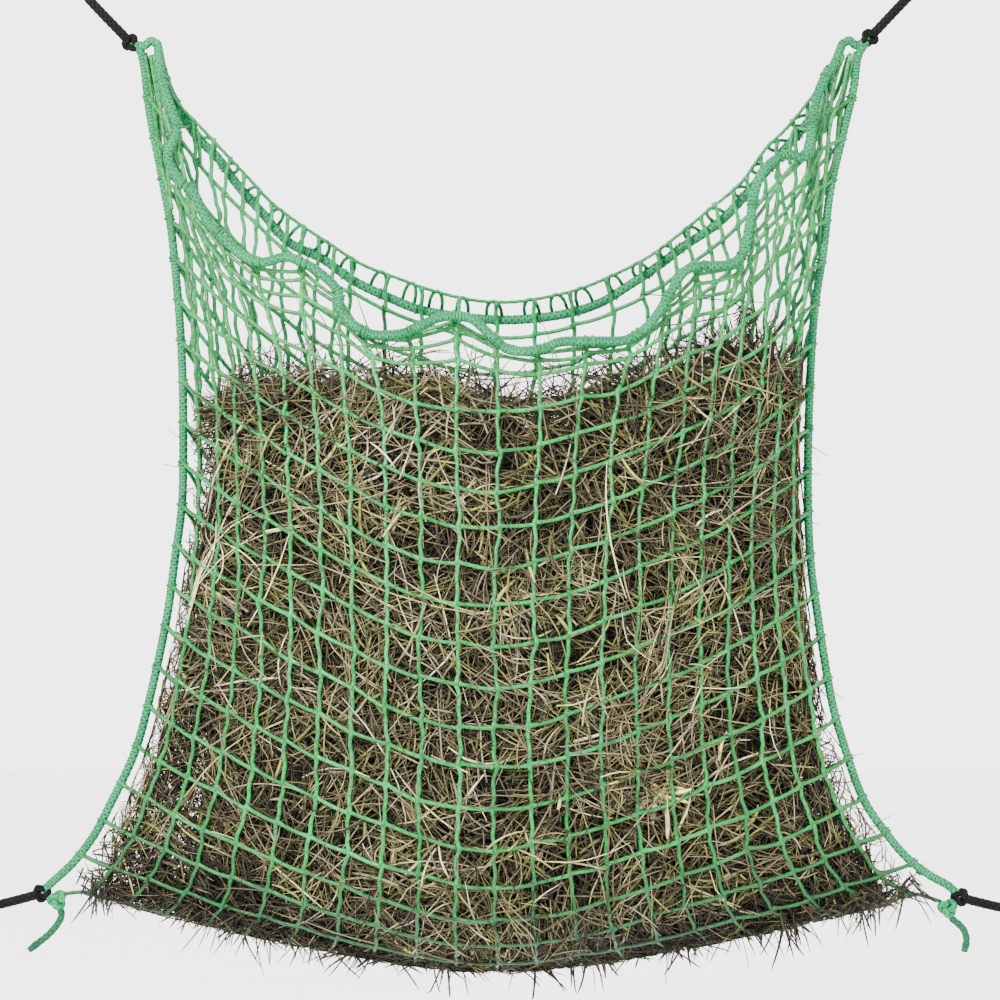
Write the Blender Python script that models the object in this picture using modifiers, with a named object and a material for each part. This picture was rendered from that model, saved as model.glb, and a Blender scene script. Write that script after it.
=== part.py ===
"""Hay net: a flat netting bag laced to two side ropes, hung by four tie cords and filled with hay.

Metres, +Z up, the front faces -Y. The origin is midway between the two top tie loops.
"""

import math

import bmesh
import bpy
import numpy as np
from mathutils import Vector

# Diameters of the cords and ropes
ROPE = 0.009
TIE = 0.0095
EDGE_CORD = 0.0042
FOLD_CORD = 0.005
TAIL = 0.0085

# The netting
SHEET = 0.004  # thickness of the closed sheet that stands for the netting
SHEET_OFF = 0.006  # distance of each sheet from the plane of the side ropes, at the ropes
ROPE_OFF = 0.0085  # distance of a mouth rope's centre line outside its sheet
ROPE_V = 0.06  # the height on the bag whose depth the mouth ropes take
EDGE_U = 0.97  # a sheet ends this far towards the side ropes
MOUTH_V = 0.022  # and starts this far below the mouth
STRIP_V = 0.15  # the strip below the front mouth rope, which moves with it, ends here
STRIP_GAP = 0.014
FOLD_V = 0.985  # and each sheet stops this far down, short of the fold
FOLD_U = 0.955  # the fold cord ends this far towards the corners
SAG_POWER = (1.55, 1.25)  # how a row sags between the side ropes, at the mouth and at the fold
SAG_ROUND = 0.03  # rounds the middle of that curve
CURVE_V = (0.0, 0.5, 0.85, 1.0)  # stations down the bag
CURVE = (1.2, 1.15, 0.9, 0.45)  # how far each section bends round there, in radians
GATHER_V = (0.12, 0.18)  # a sheet is drawn to its mouth above here: in the middle, and more at a rope

# The hay
HAY_U = 0.92
HAY_WIDTH = 0.98
HAY_DEPTH = 0.905
HAY_HEIGHT = 0.985
HAY_MIDDLE = -0.8
HAY_BOTTOM_V = 0.965
HAY_DOME = 0.006
HAY_THIN = 0.0012  # half thickness of the hay's thinnest edge
HAY_STATIONS, HAY_DOWN = 20, 11  # points across the bag, and down each side of it
HAY_TOP_V = np.linspace(0.03, 0.6, 60)  # heights tried when looking for the hay's top

# Knots and loops
KNOT = 0.008
KNOT_FLAT = 0.8
LOOP_KNOT = 0.0072
LOOP_CORD = 0.0076
LOOP_LENGTH = 0.036
LOOP_WIDTH = 0.026
GAP = 0.0004

# How finely things are drawn
ROUTE_STEP = 0.05  # share of the span between two given points
ROUTE_POINTS = 200  # points of a route that others are worked out from
SIDE_POINTS = 46
FRONT_POINTS = 66
BACK_POINTS = 46
EDGE_POINTS = 56
FOLD_POINTS = 44
BIGHT_POINTS = 14
TIE_POINTS = 12
LOOP_POINTS = 18
STRIP_GRID = (22, 3)  # columns and rows of each sheet
FRONT_GRID = (20, 16)
BACK_GRID = (20, 18)
KNOT_GRID = (12, 7)

FRONT, BACK = -1, 1

# Side ropes, from the top corners down: x and z, at y = 0
LEFT_ROPE = (
    (-0.4305, -0.0925), (-0.421, -0.163), (-0.408, -0.231), (-0.396, -0.298),
    (-0.390, -0.355), (-0.385, -0.413), (-0.382, -0.471), (-0.381, -0.529),
    (-0.382, -0.628), (-0.391, -0.701), (-0.401, -0.773), (-0.419, -0.859),
    (-0.439, -0.933), (-0.468, -0.995), (-0.489, -1.035), (-0.514, -1.068),
    (-0.541, -1.093),
)
RIGHT_ROPE = (
    (0.4355, -0.0925), (0.430, -0.132), (0.417, -0.188), (0.402, -0.255),
    (0.394, -0.325), (0.382, -0.410), (0.376, -0.532), (0.375, -0.628),
    (0.378, -0.701), (0.386, -0.764), (0.403, -0.868), (0.419, -0.927),
    (0.442, -0.991), (0.474, -1.038), (0.497, -1.064), (0.522, -1.083),
    (0.5445, -1.0956),
)

# Middle of the front and back sheets, from the mouth down to the fold: distance from y = 0, and z
PROFILE = {
    FRONT: (
        (0.085, -0.442), (0.105, -0.500), (0.135, -0.620), (0.160, -0.760),
        (0.172, -0.900), (0.163, -1.020), (0.133, -1.110), (0.080, -1.168),
        (0.030, -1.191), (0.000, -1.1955),
    ),
    BACK: (
        (0.050, -0.388), (0.062, -0.450), (0.090, -0.580), (0.120, -0.740),
        (0.135, -0.880), (0.130, -1.000), (0.105, -1.095), (0.062, -1.158),
        (0.022, -1.190), (0.000, -1.1955),
    ),
}

# Front mouth rope, rumpled between the top corners: x and z
MOUTH_FRONT = (
    (-0.410, -0.100), (-0.403, -0.133), (-0.387, -0.181), (-0.397, -0.215),
    (-0.386, -0.240), (-0.364, -0.263), (-0.346, -0.298), (-0.306, -0.336),
    (-0.282, -0.345), (-0.255, -0.339), (-0.237, -0.344), (-0.214, -0.357),
    (-0.191, -0.380), (-0.186, -0.406), (-0.156, -0.430), (-0.121, -0.432),
    (-0.098, -0.425), (-0.073, -0.413), (-0.048, -0.410), (-0.029, -0.415),
    (-0.009, -0.433), (0.015, -0.451), (0.051, -0.450), (0.075, -0.441),
    (0.119, -0.440), (0.151, -0.439), (0.174, -0.426), (0.190, -0.408),
    (0.203, -0.387), (0.221, -0.358), (0.241, -0.350), (0.275, -0.348),
    (0.293, -0.334), (0.301, -0.299), (0.310, -0.252), (0.323, -0.229),
    (0.347, -0.214), (0.366, -0.218), (0.374, -0.203), (0.379, -0.174),
    (0.384, -0.145), (0.395, -0.118), (0.409, -0.100),
)

# Thin cord along the back edge, and the thick rope laced just under it: x and z
BACK_EDGE = (
    (-0.402, -0.112), (-0.392, -0.143), (-0.357, -0.181), (-0.306, -0.235),
    (-0.276, -0.267), (-0.242, -0.293), (-0.207, -0.316), (-0.166, -0.342),
    (-0.122, -0.359), (-0.083, -0.373), (-0.039, -0.384), (0.001, -0.388),
    (0.041, -0.385), (0.096, -0.373), (0.145, -0.353), (0.185, -0.332),
    (0.219, -0.307), (0.252, -0.280), (0.295, -0.244), (0.324, -0.204),
    (0.351, -0.177), (0.381, -0.140), (0.399, -0.114),
)
BACK_ROPE = (
    (-0.409, -0.100), (-0.397, -0.136), (-0.369, -0.184), (-0.341, -0.213),
    (-0.316, -0.247), (-0.286, -0.281), (-0.255, -0.315), (-0.214, -0.335),
    (-0.177, -0.361), (-0.133, -0.382), (-0.085, -0.399), (0.002, -0.409),
    (0.075, -0.403), (0.123, -0.389), (0.160, -0.367), (0.196, -0.343),
    (0.226, -0.320), (0.269, -0.291), (0.304, -0.255), (0.351, -0.200),
    (0.381, -0.164), (0.402, -0.127), (0.410, -0.100),
)

# Top of the hay: x and z
HAY_TOP = (
    (-0.380, -0.505), (-0.300, -0.492), (-0.200, -0.488), (-0.060, -0.490),
    (0.060, -0.488), (0.160, -0.482), (0.240, -0.475), (0.300, -0.468), (0.370, -0.468),
)

# Rope bights at the top corners, tie cords and rope tails: x and z, at y = 0
CORNER_LOOPS = {
    "left": ((-0.4305, -0.0910), (-0.4285, -0.0800), (-0.4200, -0.0735), (-0.4115, -0.0790),
             (-0.4090, -0.0880)),
    "right": ((0.4355, -0.0910), (0.4340, -0.0795), (0.4250, -0.0730), (0.4160, -0.0785),
              (0.4130, -0.0880)),
}
TIES = {
    "top_left": ((-0.4440, -0.0765), (-0.4580, -0.0620), (-0.4765, -0.0430), (-0.4920, -0.0265),
                 (-0.5035, -0.0137)),
    "top_right": ((0.4490, -0.0705), (0.4620, -0.0570), (0.4760, -0.0420), (0.4905, -0.0268),
                  (0.5035, -0.0137)),
    "bottom_left": ((-0.5518, -1.1047), (-0.5680, -1.1095), (-0.5850, -1.1140),
                    (-0.6060, -1.1192), (-0.6255, -1.1232)),
    "bottom_right": ((0.5590, -1.1096), (0.5740, -1.1140), (0.5900, -1.1180),
                     (0.6120, -1.1230), (0.6340, -1.1275)),
}
STOPPERS = {"left": (-0.5336, -1.1132), "right": (0.5445, -1.1229)}
TAILS = {
    "left": ((-0.5300, -1.1225), (-0.5285, -1.1330), (-0.5350, -1.1450), (-0.5460, -1.1570),
             (-0.5570, -1.1655), (-0.5680, -1.1745)),
    "right": ((0.5490, -1.1350), (0.5570, -1.1420), (0.5640, -1.1500), (0.5670, -1.1620),
              (0.5640, -1.1760)),
}


def clear_scene():
    for thing in list(bpy.data.objects):
        bpy.data.objects.remove(thing)


def material(name, colour, roughness):
    made = bpy.data.materials.get(name) or bpy.data.materials.new(name)
    made.use_nodes = True
    shader = made.node_tree.nodes["Principled BSDF"]
    shader.inputs["Base Color"].default_value = (*colour, 1)
    shader.inputs["Roughness"].default_value = roughness
    shader.inputs["Metallic"].default_value = 0.0
    return made


def net_green():
    return material("net_green", (0.09, 0.60, 0.22), 0.45)


def rope_green():
    return material("rope_green", (0.11, 0.40, 0.24), 0.6)


def tie_black():
    return material("tie_black", (0.015, 0.014, 0.014), 0.5)


def hay_straw():
    return material("hay_straw", (0.34, 0.26, 0.12), 0.9)


def smooth(points, count):
    """Evenly spaced points, this many, along a smooth curve through the given ones."""
    given = np.array(points, float)
    padded = np.vstack([2 * given[0] - given[1], given, 2 * given[-1] - given[-2]])
    fine = []
    for a, b, c, d in zip(padded, padded[1:], padded[2:], padded[3:]):
        for t in np.arange(0, 1, ROUTE_STEP):
            fine.append(
                b + 0.5 * t * (c - a + t * (2 * a - 5 * b + 4 * c - d + t * (3 * b - 3 * c + d - a)))
            )
    fine = np.array(fine + [given[-1]])
    run = np.concatenate([[0], np.cumsum(np.linalg.norm(np.diff(fine, axis=0), axis=1))])
    at = np.linspace(0, run[-1], count)
    return np.column_stack([np.interp(at, run, column) for column in fine.T])


def along(route, share):
    """The point at this share of the length of an evenly spaced route."""
    at = share * (len(route) - 1)
    return np.array([np.interp(at, range(len(route)), column) for column in route.T])


SIDE = {-1: smooth(LEFT_ROPE, ROUTE_POINTS), 1: smooth(RIGHT_ROPE, ROUTE_POINTS)}
MIDDLE = {face: smooth(points, ROUTE_POINTS) for face, points in PROFILE.items()}
MOUTH = {FRONT: smooth(MOUTH_FRONT, ROUTE_POINTS), BACK: smooth(BACK_EDGE, ROUTE_POINTS)}


def bag_depth(face, u, v):
    """How far the bag stands out of the plane of the side ropes."""
    bend = np.interp(v, CURVE_V, CURVE)
    across = (math.cos(bend * u) - math.cos(bend)) / (1 - math.cos(bend))
    return along(MIDDLE[face], v)[0] * across


def row_rise(u, v):
    """How far a row has risen from its middle towards the side rope, from 0 to 1."""
    power = np.interp(v, (0, 1), SAG_POWER) / 2
    low = SAG_ROUND**power
    return ((u * u + SAG_ROUND) ** power - low) / ((1 + SAG_ROUND) ** power - low)


def bag_point(face, u, v):
    """A point of the bag: u from -1 at the left rope to 1 at the right, v from 0 at the mouth to 1."""
    rope_x, rope_z = along(SIDE[1 if u > 0 else -1], v)
    middle_z = along(MIDDLE[face], v)[1]
    bend = np.interp(v, CURVE_V, CURVE)
    x = rope_x * math.sin(bend * abs(u)) / math.sin(bend)
    z = middle_z + (rope_z - middle_z) * row_rise(u, v)
    return np.array([x, face * bag_depth(face, u, v), z])


def net_point(face, u, v):
    """A point of the sheet: the bag, drawn to its mouth rope near the top."""
    point = bag_point(face, u, v)
    fade = max(0.0, 1 - v / (GATHER_V[0] + GATHER_V[1] * abs(u))) ** 2
    mouth_x, mouth_z = along(MOUTH[face], (u + 1) / 2)
    top = bag_point(face, u, 0)
    point += fade * (np.array([mouth_x, top[1], mouth_z]) - top)
    point[1] += face * SHEET_OFF
    return point


def add(name, data, finish):
    piece = bpy.data.objects.new(name, data)
    data.materials.append(finish)
    bpy.data.collections["hay_net"].objects.link(piece)
    return piece


def tube(name, points, diameter, finish, closed=False, sides=2):
    """A round cord along the points."""
    curve = bpy.data.curves.new(name, "CURVE")
    curve.dimensions = "3D"
    curve.bevel_depth = diameter / 2
    curve.bevel_resolution = sides
    curve.use_fill_caps = not closed
    line = curve.splines.new("POLY")
    line.points.add(len(points) - 1)
    for point, place in zip(line.points, points):
        point.co = (*place, 1)
    line.use_cyclic_u = closed
    line.use_smooth = True
    return add(name, curve, finish)


def flat_route(points, count, y=0.0):
    """A smooth route in the plane at y."""
    return [(x, y, z) for x, z in smooth(points, count)]


def sheet(name, face, from_v, to_v, grid_size):
    """A closed sheet of netting between two heights of the bag."""
    grid = bmesh.new()
    bmesh.ops.create_grid(grid, x_segments=grid_size[0], y_segments=grid_size[1], size=1)
    for corner in grid.verts:
        u = EDGE_U * corner.co.x
        v = from_v + (to_v - from_v) * (1 - corner.co.y) / 2
        corner.co = Vector(net_point(face, u, v))
    mesh = bpy.data.meshes.new(name)
    grid.to_mesh(mesh)
    grid.free()
    mesh.shade_smooth()
    piece = add(name, mesh, net_green())
    shell = piece.modifiers.new("thickness", "SOLIDIFY")
    shell.thickness = SHEET
    shell.offset = 0
    return piece


def net_sheets():
    sheet("net_front_mouth_strip", FRONT, MOUTH_V, STRIP_V, STRIP_GRID)
    sheet("net_front", FRONT, STRIP_V + STRIP_GAP, FOLD_V, FRONT_GRID)
    sheet("net_back", BACK, MOUTH_V, FOLD_V, BACK_GRID)
    fold = [bag_point(FRONT, u, 1) * (1, 0, 1) for u in np.linspace(-FOLD_U, FOLD_U, FOLD_POINTS)]
    tube("fold_cord", fold, FOLD_CORD, net_green())


def side_ropes():
    tube("side_rope_left", flat_route(LEFT_ROPE, SIDE_POINTS), ROPE, rope_green())
    tube("side_rope_right", flat_route(RIGHT_ROPE, SIDE_POINTS), ROPE, rope_green())


def mouth_route(face, points, count, off, v):
    """A route along the mouth, this far outside the sheet."""
    route = []
    for share, (x, z) in zip(np.linspace(0, 1, count), smooth(points, count)):
        y = bag_depth(face, 2 * share - 1, v) + SHEET_OFF + off
        route.append((x, face * y, z))
    return route


def mouth_ropes():
    front = mouth_route(FRONT, MOUTH_FRONT, FRONT_POINTS, ROPE_OFF, ROPE_V)
    tube("mouth_rope_front", front, ROPE, rope_green())
    back = mouth_route(BACK, BACK_ROPE, BACK_POINTS, ROPE_OFF, ROPE_V)
    tube("mouth_rope_back", back, ROPE, rope_green())
    edge = mouth_route(BACK, BACK_EDGE, EDGE_POINTS, 0, 0)
    tube("back_edge_cord", edge, EDGE_CORD, net_green())


def hay_fill():
    """The hay inside: a ring of points at each station across the bag, front down and back up."""
    top = np.array(HAY_TOP)

    def hay_point(face, u, v):
        x, y, z = net_point(face, u, v)
        y = face * max(HAY_DEPTH * abs(y) - SHEET_OFF, HAY_THIN)
        return HAY_WIDTH * x, y, HAY_MIDDLE + (z - HAY_MIDDLE) * HAY_HEIGHT

    def wall(face, u):
        reach = [hay_point(face, u, v) for v in HAY_TOP_V]
        over = [np.interp(x, *top.T) - z for x, y, z in reach]
        first = np.interp(0, over, HAY_TOP_V)
        return [hay_point(face, u, v) for v in np.linspace(first, HAY_BOTTOM_V, HAY_DOWN)]

    grid = bmesh.new()
    rings = []
    for u in np.linspace(-HAY_U, HAY_U, HAY_STATIONS):
        front, back = wall(FRONT, u), wall(BACK, u)
        crown = (np.array(front[0]) + np.array(back[0])) / 2 + (0, 0, HAY_DOME)
        ring = front + back[::-1] + [tuple(crown)]
        rings.append([grid.verts.new(point) for point in ring])
    for one, two in zip(rings, rings[1:]):
        for i in range(len(one)):
            grid.faces.new((one[i - 1], one[i], two[i], two[i - 1]))
    grid.faces.new(rings[0])
    grid.faces.new(rings[-1])
    bmesh.ops.triangulate(grid, faces=grid.faces[:])
    bmesh.ops.recalc_face_normals(grid, faces=grid.faces[:])
    mesh = bpy.data.meshes.new("hay_fill")
    grid.to_mesh(mesh)
    grid.free()
    return add("hay_fill", mesh, hay_straw())


def knot(name, x, z, finish, size=KNOT):
    """A pulled-tight knot, as a round body a little flat front to back."""
    ball = bmesh.new()
    bmesh.ops.create_uvsphere(ball, u_segments=KNOT_GRID[0], v_segments=KNOT_GRID[1], radius=size)
    mesh = bpy.data.meshes.new(name)
    ball.to_mesh(mesh)
    ball.free()
    mesh.shade_smooth()
    piece = add(name, mesh, finish)
    piece.location = (x, 0, z)
    piece.scale = (1, KNOT_FLAT, 1)
    return piece


def trimmed(route, first, last):
    """The part of a route between these distances from its two ends."""
    route = np.array(route)
    run = np.concatenate([[0], np.cumsum(np.linalg.norm(np.diff(route, axis=0), axis=1))])
    at = np.linspace(first, run[-1] - last, len(route))
    return np.column_stack([np.interp(at, run, column) for column in route.T])


def tie(corner):
    """A black tie cord from its knot on the net to a knotted loop that goes on a hook or a ring."""
    points = TIES[corner]
    neck = Vector(points[-1])
    aim = (neck - Vector(points[-2])).normalized()
    knot(f"tie_knot_{corner}", *points[0], tie_black())
    knot(f"tie_loop_knot_{corner}", *neck, tie_black(), LOOP_KNOT)
    route = trimmed(flat_route(points, TIE_POINTS), KNOT + GAP, LOOP_KNOT + GAP)
    tube(f"tie_cord_{corner}", route, TIE, tie_black())
    centre = neck + aim * (LOOP_KNOT + GAP + LOOP_CORD / 2 + LOOP_LENGTH / 2)
    across = Vector((-aim.y, aim.x))
    ring = []
    for angle in np.linspace(0, 2 * math.pi, LOOP_POINTS, endpoint=False):
        place = centre + aim * (LOOP_LENGTH / 2 * math.cos(angle))
        place += across * (LOOP_WIDTH / 2 * math.sin(angle))
        ring.append((place.x, 0, place.y))
    tube(f"tie_loop_{corner}", ring, LOOP_CORD, tie_black(), closed=True)


def corner_pieces():
    for side, points in CORNER_LOOPS.items():
        tube(f"corner_loop_{side}", flat_route(points, BIGHT_POINTS), ROPE, rope_green())
    for side, place in STOPPERS.items():
        knot(f"stopper_knot_{side}", *place, rope_green())
        tube(f"rope_tail_{side}", flat_route(TAILS[side], TIE_POINTS), TAIL, rope_green())


def main():
    clear_scene()
    parts = bpy.data.collections.new("hay_net")
    bpy.context.scene.collection.children.link(parts)
    side_ropes()
    mouth_ropes()
    net_sheets()
    hay_fill()
    corner_pieces()
    for corner in TIES:
        tie(corner)


main()
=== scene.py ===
"""Looks of the hay net: netting, ropes, ties and hay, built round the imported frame.

Metres, +Z up, the front faces -Y. The origin is midway between the two top tie loops.
"""

import math

import bpy
import numpy as np
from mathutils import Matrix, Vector


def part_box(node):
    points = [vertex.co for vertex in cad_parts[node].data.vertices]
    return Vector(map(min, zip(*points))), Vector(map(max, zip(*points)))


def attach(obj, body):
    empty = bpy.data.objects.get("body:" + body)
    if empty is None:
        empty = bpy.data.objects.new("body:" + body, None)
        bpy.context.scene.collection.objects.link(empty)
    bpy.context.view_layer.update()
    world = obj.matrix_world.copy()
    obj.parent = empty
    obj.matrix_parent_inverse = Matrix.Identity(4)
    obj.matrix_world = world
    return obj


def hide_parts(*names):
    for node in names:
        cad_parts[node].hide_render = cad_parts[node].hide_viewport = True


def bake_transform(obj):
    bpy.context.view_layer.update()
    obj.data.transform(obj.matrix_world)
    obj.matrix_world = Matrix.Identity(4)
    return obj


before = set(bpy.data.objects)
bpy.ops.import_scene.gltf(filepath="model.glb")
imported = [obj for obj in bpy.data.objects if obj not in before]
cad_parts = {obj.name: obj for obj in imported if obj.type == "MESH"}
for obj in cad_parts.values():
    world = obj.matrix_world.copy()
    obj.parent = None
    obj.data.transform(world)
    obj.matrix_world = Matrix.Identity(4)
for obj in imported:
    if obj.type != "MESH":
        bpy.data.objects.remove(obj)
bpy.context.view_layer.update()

# The netting, as the CAD part has it
SHEET_OFF = 0.006  # distance of each sheet from the plane of the side ropes, at the ropes
ROPE_OFF = 0.0085  # distance of a mouth rope's centre line outside its sheet
ROPE_V = 0.06  # the height on the bag whose depth the mouth ropes take
SAG_POWER = (1.55, 1.25)  # how a row sags between the side ropes, at the mouth and at the fold
SAG_ROUND = 0.03  # rounds the middle of that curve
CURVE_V = (0.0, 0.5, 0.85, 1.0)  # stations down the bag
CURVE = (1.2, 1.15, 0.9, 0.45)  # how far each section bends round there, in radians
FOLD_U = 0.955  # the fold cord ends this far towards the corners

# Meshes of the netting
COLUMNS = 11  # from the middle to a side rope
ROWS = 21  # from the fold to the mouth
EVEN_ROWS = 17  # rows of the front that hang evenly in the middle; the rest bunch at the rope
EVEN_TOP = 0.042  # the height in the bag of the topmost of those
BUNCHED_ROWS = (17, 18, 19, 20, 21)  # the rest, and the height in the bag of each
BUNCHED_TOPS = (0.042, 0.022, 0.008, 0.004, 0.0)
ROW_POWER = 2.2  # how a row leaves its height in the middle for its height at the rope
MOUTH_PULL = 0.12, 0.18  # how far down the mouth rope draws the sheet: in the middle, and more at the ropes
CORNER_PULL, CORNER_REACH = 0.8, 0.09  # how far columns crowd into a corner, and along how much of the mouth
GATHERED = (0.41, 0.5, 0.59, 0.68, 0.77, 0.86, 0.95)  # where more meshes gather, across the back sheet
GATHERED_FROM = 14  # and from which row up
FAN_CORDS = 3  # cords of the bunched meshes in each sheet, at each top corner
FAN_ROW = 16  # the row those cords reach on the side rope
FAN_MOUTH = 0.09  # and how far along the mouth they reach, from its end

# Diameters
ROPE = 0.0105
MOUTH_ROPE = 0.0116
TIE = 0.0110
TAIL = 0.0085
EDGE_CORD = 0.0042
NET_CORD = 0.0050
BACK_CORD = 0.0050
WHIPPING = 0.0010
LOOP_CORD = 0.0076
LACING, MOUTH_LACING = 0.0030, 0.0034

# Relief of the cords: strands, length of a turn, and depth as a share of the radius
NET_TWIST = 3, 0.0115, 0.05
ROPE_BRAID = 4, 0.0085, 0.07
TIE_BRAID = 5, 0.0075, 0.05

FOLD_SHADE, FOLD_SHADE_HEIGHT = 0.48, 0.12  # painted shade on the netting near the fold, and how far up it reaches
TAIL_TONE = -0.45

FRONT, BACK = -1, 1

# The camera looks along +Y from here; the view is this wide at the side ropes
EYE_DISTANCE = 7.0
EYE_X, EYE_Z = 0.0024, -0.6292
VIEW_WIDTH = 1.21
SENSOR = 36.0
FLOOR_Z, FLOOR_REACH = -1.62, 14
SKY, KEY_POWER, FILL_POWER = 4.2, 640, 80

# Side ropes, from the top corners down: x and z, at y = 0
LEFT_ROPE = (
    (-0.4305, -0.0925), (-0.421, -0.163), (-0.408, -0.231), (-0.396, -0.298),
    (-0.390, -0.355), (-0.385, -0.413), (-0.382, -0.471), (-0.381, -0.529),
    (-0.382, -0.628), (-0.391, -0.701), (-0.401, -0.773), (-0.419, -0.859),
    (-0.439, -0.933), (-0.468, -0.995), (-0.489, -1.035), (-0.514, -1.068),
    (-0.541, -1.093),
)
RIGHT_ROPE = (
    (0.4355, -0.0925), (0.430, -0.132), (0.417, -0.188), (0.402, -0.255),
    (0.394, -0.325), (0.382, -0.410), (0.376, -0.532), (0.375, -0.628),
    (0.378, -0.701), (0.386, -0.764), (0.403, -0.868), (0.419, -0.927),
    (0.442, -0.991), (0.474, -1.038), (0.497, -1.064), (0.522, -1.083),
    (0.5445, -1.0956),
)

# Middle of the front and back sheets, from the mouth down to the fold: distance from y = 0, and z
PROFILE = {
    FRONT: (
        (0.085, -0.442), (0.105, -0.500), (0.135, -0.620), (0.160, -0.760),
        (0.172, -0.900), (0.163, -1.020), (0.133, -1.110), (0.080, -1.168),
        (0.030, -1.191), (0.000, -1.1955),
    ),
    BACK: (
        (0.050, -0.388), (0.062, -0.450), (0.090, -0.580), (0.120, -0.740),
        (0.135, -0.880), (0.130, -1.000), (0.105, -1.095), (0.062, -1.158),
        (0.022, -1.190), (0.000, -1.1955),
    ),
}

# Front mouth rope, rumpled between the top corners: x and z
MOUTH_FRONT = (
    (-0.410, -0.100), (-0.403, -0.133), (-0.387, -0.181), (-0.397, -0.215),
    (-0.386, -0.240), (-0.364, -0.263), (-0.346, -0.298), (-0.306, -0.336),
    (-0.282, -0.345), (-0.255, -0.339), (-0.237, -0.344), (-0.214, -0.357),
    (-0.191, -0.380), (-0.186, -0.406), (-0.156, -0.430), (-0.121, -0.432),
    (-0.098, -0.425), (-0.073, -0.413), (-0.048, -0.410), (-0.029, -0.415),
    (-0.009, -0.433), (0.015, -0.451), (0.051, -0.450), (0.075, -0.441),
    (0.119, -0.440), (0.151, -0.439), (0.174, -0.426), (0.190, -0.408),
    (0.203, -0.387), (0.221, -0.358), (0.241, -0.350), (0.275, -0.348),
    (0.293, -0.334), (0.301, -0.299), (0.310, -0.252), (0.323, -0.229),
    (0.347, -0.214), (0.366, -0.218), (0.374, -0.203), (0.379, -0.174),
    (0.384, -0.145), (0.395, -0.118), (0.409, -0.100),
)

# Thin cord along the back edge, and the thick rope laced just under it: x and z
BACK_EDGE = (
    (-0.402, -0.112), (-0.392, -0.143), (-0.357, -0.181), (-0.306, -0.235),
    (-0.276, -0.267), (-0.242, -0.293), (-0.207, -0.316), (-0.166, -0.342),
    (-0.122, -0.359), (-0.083, -0.373), (-0.039, -0.384), (0.001, -0.388),
    (0.041, -0.385), (0.096, -0.373), (0.145, -0.353), (0.185, -0.332),
    (0.219, -0.307), (0.252, -0.280), (0.295, -0.244), (0.324, -0.204),
    (0.351, -0.177), (0.381, -0.140), (0.399, -0.114),
)
BACK_ROPE = (
    (-0.409, -0.100), (-0.397, -0.136), (-0.369, -0.184), (-0.341, -0.213),
    (-0.316, -0.247), (-0.286, -0.281), (-0.255, -0.315), (-0.214, -0.335),
    (-0.177, -0.361), (-0.133, -0.382), (-0.085, -0.399), (0.002, -0.409),
    (0.075, -0.403), (0.123, -0.389), (0.160, -0.367), (0.196, -0.343),
    (0.226, -0.320), (0.269, -0.291), (0.304, -0.255), (0.351, -0.200),
    (0.381, -0.164), (0.402, -0.127), (0.410, -0.100),
)

# Rope bights at the top corners, tie cords and rope tails: x and z, at y = 0
CORNER_LOOPS = {
    "left": ((-0.4305, -0.0910), (-0.4285, -0.0800), (-0.4200, -0.0735), (-0.4115, -0.0790),
             (-0.4090, -0.0880)),
    "right": ((0.4355, -0.0910), (0.4340, -0.0795), (0.4250, -0.0730), (0.4160, -0.0785),
              (0.4130, -0.0880)),
}
TIES = {
    "top_left": ((-0.4440, -0.0765), (-0.4580, -0.0620), (-0.4765, -0.0430), (-0.4920, -0.0265),
                 (-0.5035, -0.0137)),
    "top_right": ((0.4490, -0.0705), (0.4620, -0.0570), (0.4760, -0.0420), (0.4905, -0.0268),
                  (0.5035, -0.0137)),
    "bottom_left": ((-0.5518, -1.1047), (-0.5680, -1.1095), (-0.5850, -1.1140),
                    (-0.6060, -1.1192), (-0.6255, -1.1232)),
    "bottom_right": ((0.5590, -1.1096), (0.5740, -1.1140), (0.5900, -1.1180),
                     (0.6120, -1.1230), (0.6340, -1.1275)),
}
STOPPERS = {"left": (-0.5336, -1.1132), "right": (0.5445, -1.1229)}
TAILS = {
    "left": ((-0.5300, -1.1225), (-0.5285, -1.1330), (-0.5350, -1.1450), (-0.5460, -1.1570),
             (-0.5570, -1.1655), (-0.5680, -1.1745)),
    "right": ((0.5490, -1.1350), (0.5570, -1.1420), (0.5640, -1.1500), (0.5670, -1.1620),
              (0.5640, -1.1760)),
}

# Top of the hay as it looks: x and z
HAY_TOP = (
    (-0.370, -0.525), (-0.325, -0.500), (-0.264, -0.480), (-0.203, -0.482), (-0.143, -0.486),
    (-0.080, -0.478), (-0.022, -0.496), (0.051, -0.512), (0.123, -0.497), (0.184, -0.478),
    (0.244, -0.468), (0.305, -0.458), (0.345, -0.468), (0.375, -0.500),
)
LEAF_CLUMPS = (  # x, z, leaf length, and the height in the bag of the sheet behind it
    (0.200, -0.978, 0.040, 0.74), (-0.024, -1.152, 0.030, 0.93),
)
CROSSING_STEMS = (  # long stems above the hay at the right, from x, z to x, z
    ((0.172, -0.381), (0.343, -0.392)), ((0.190, -0.420), (0.305, -0.398)),
    ((0.245, -0.480), (0.262, -0.396)), ((0.298, -0.480), (0.300, -0.400)),
    ((0.318, -0.470), (0.352, -0.404)), ((0.225, -0.470), (0.290, -0.418)),
    ((-0.170, -0.486), (-0.120, -0.446)), ((-0.060, -0.480), (0.010, -0.452)),
)
SEED_HEAD = (0.299, -0.030, -0.408)
HAY_DEPTHS = (-0.190, 0.153)  # no strand goes past these, front and back
HOLLOW = 0.55  # share of the outer strands missing in a hollow
HAY_LEFT, HAY_RIGHT = -0.92, 0.965  # how far across the bag the hay reaches
HALF_BAG = 0.42  # about half the bag's width where the leaf clumps lie
HAY_EDGE = 0.05  # across this much of the bag the hay thins out at its sides
SPARE, BUNDLE = 1.9, 16  # strands tried for each one wanted, and strands in a bundle
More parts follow.
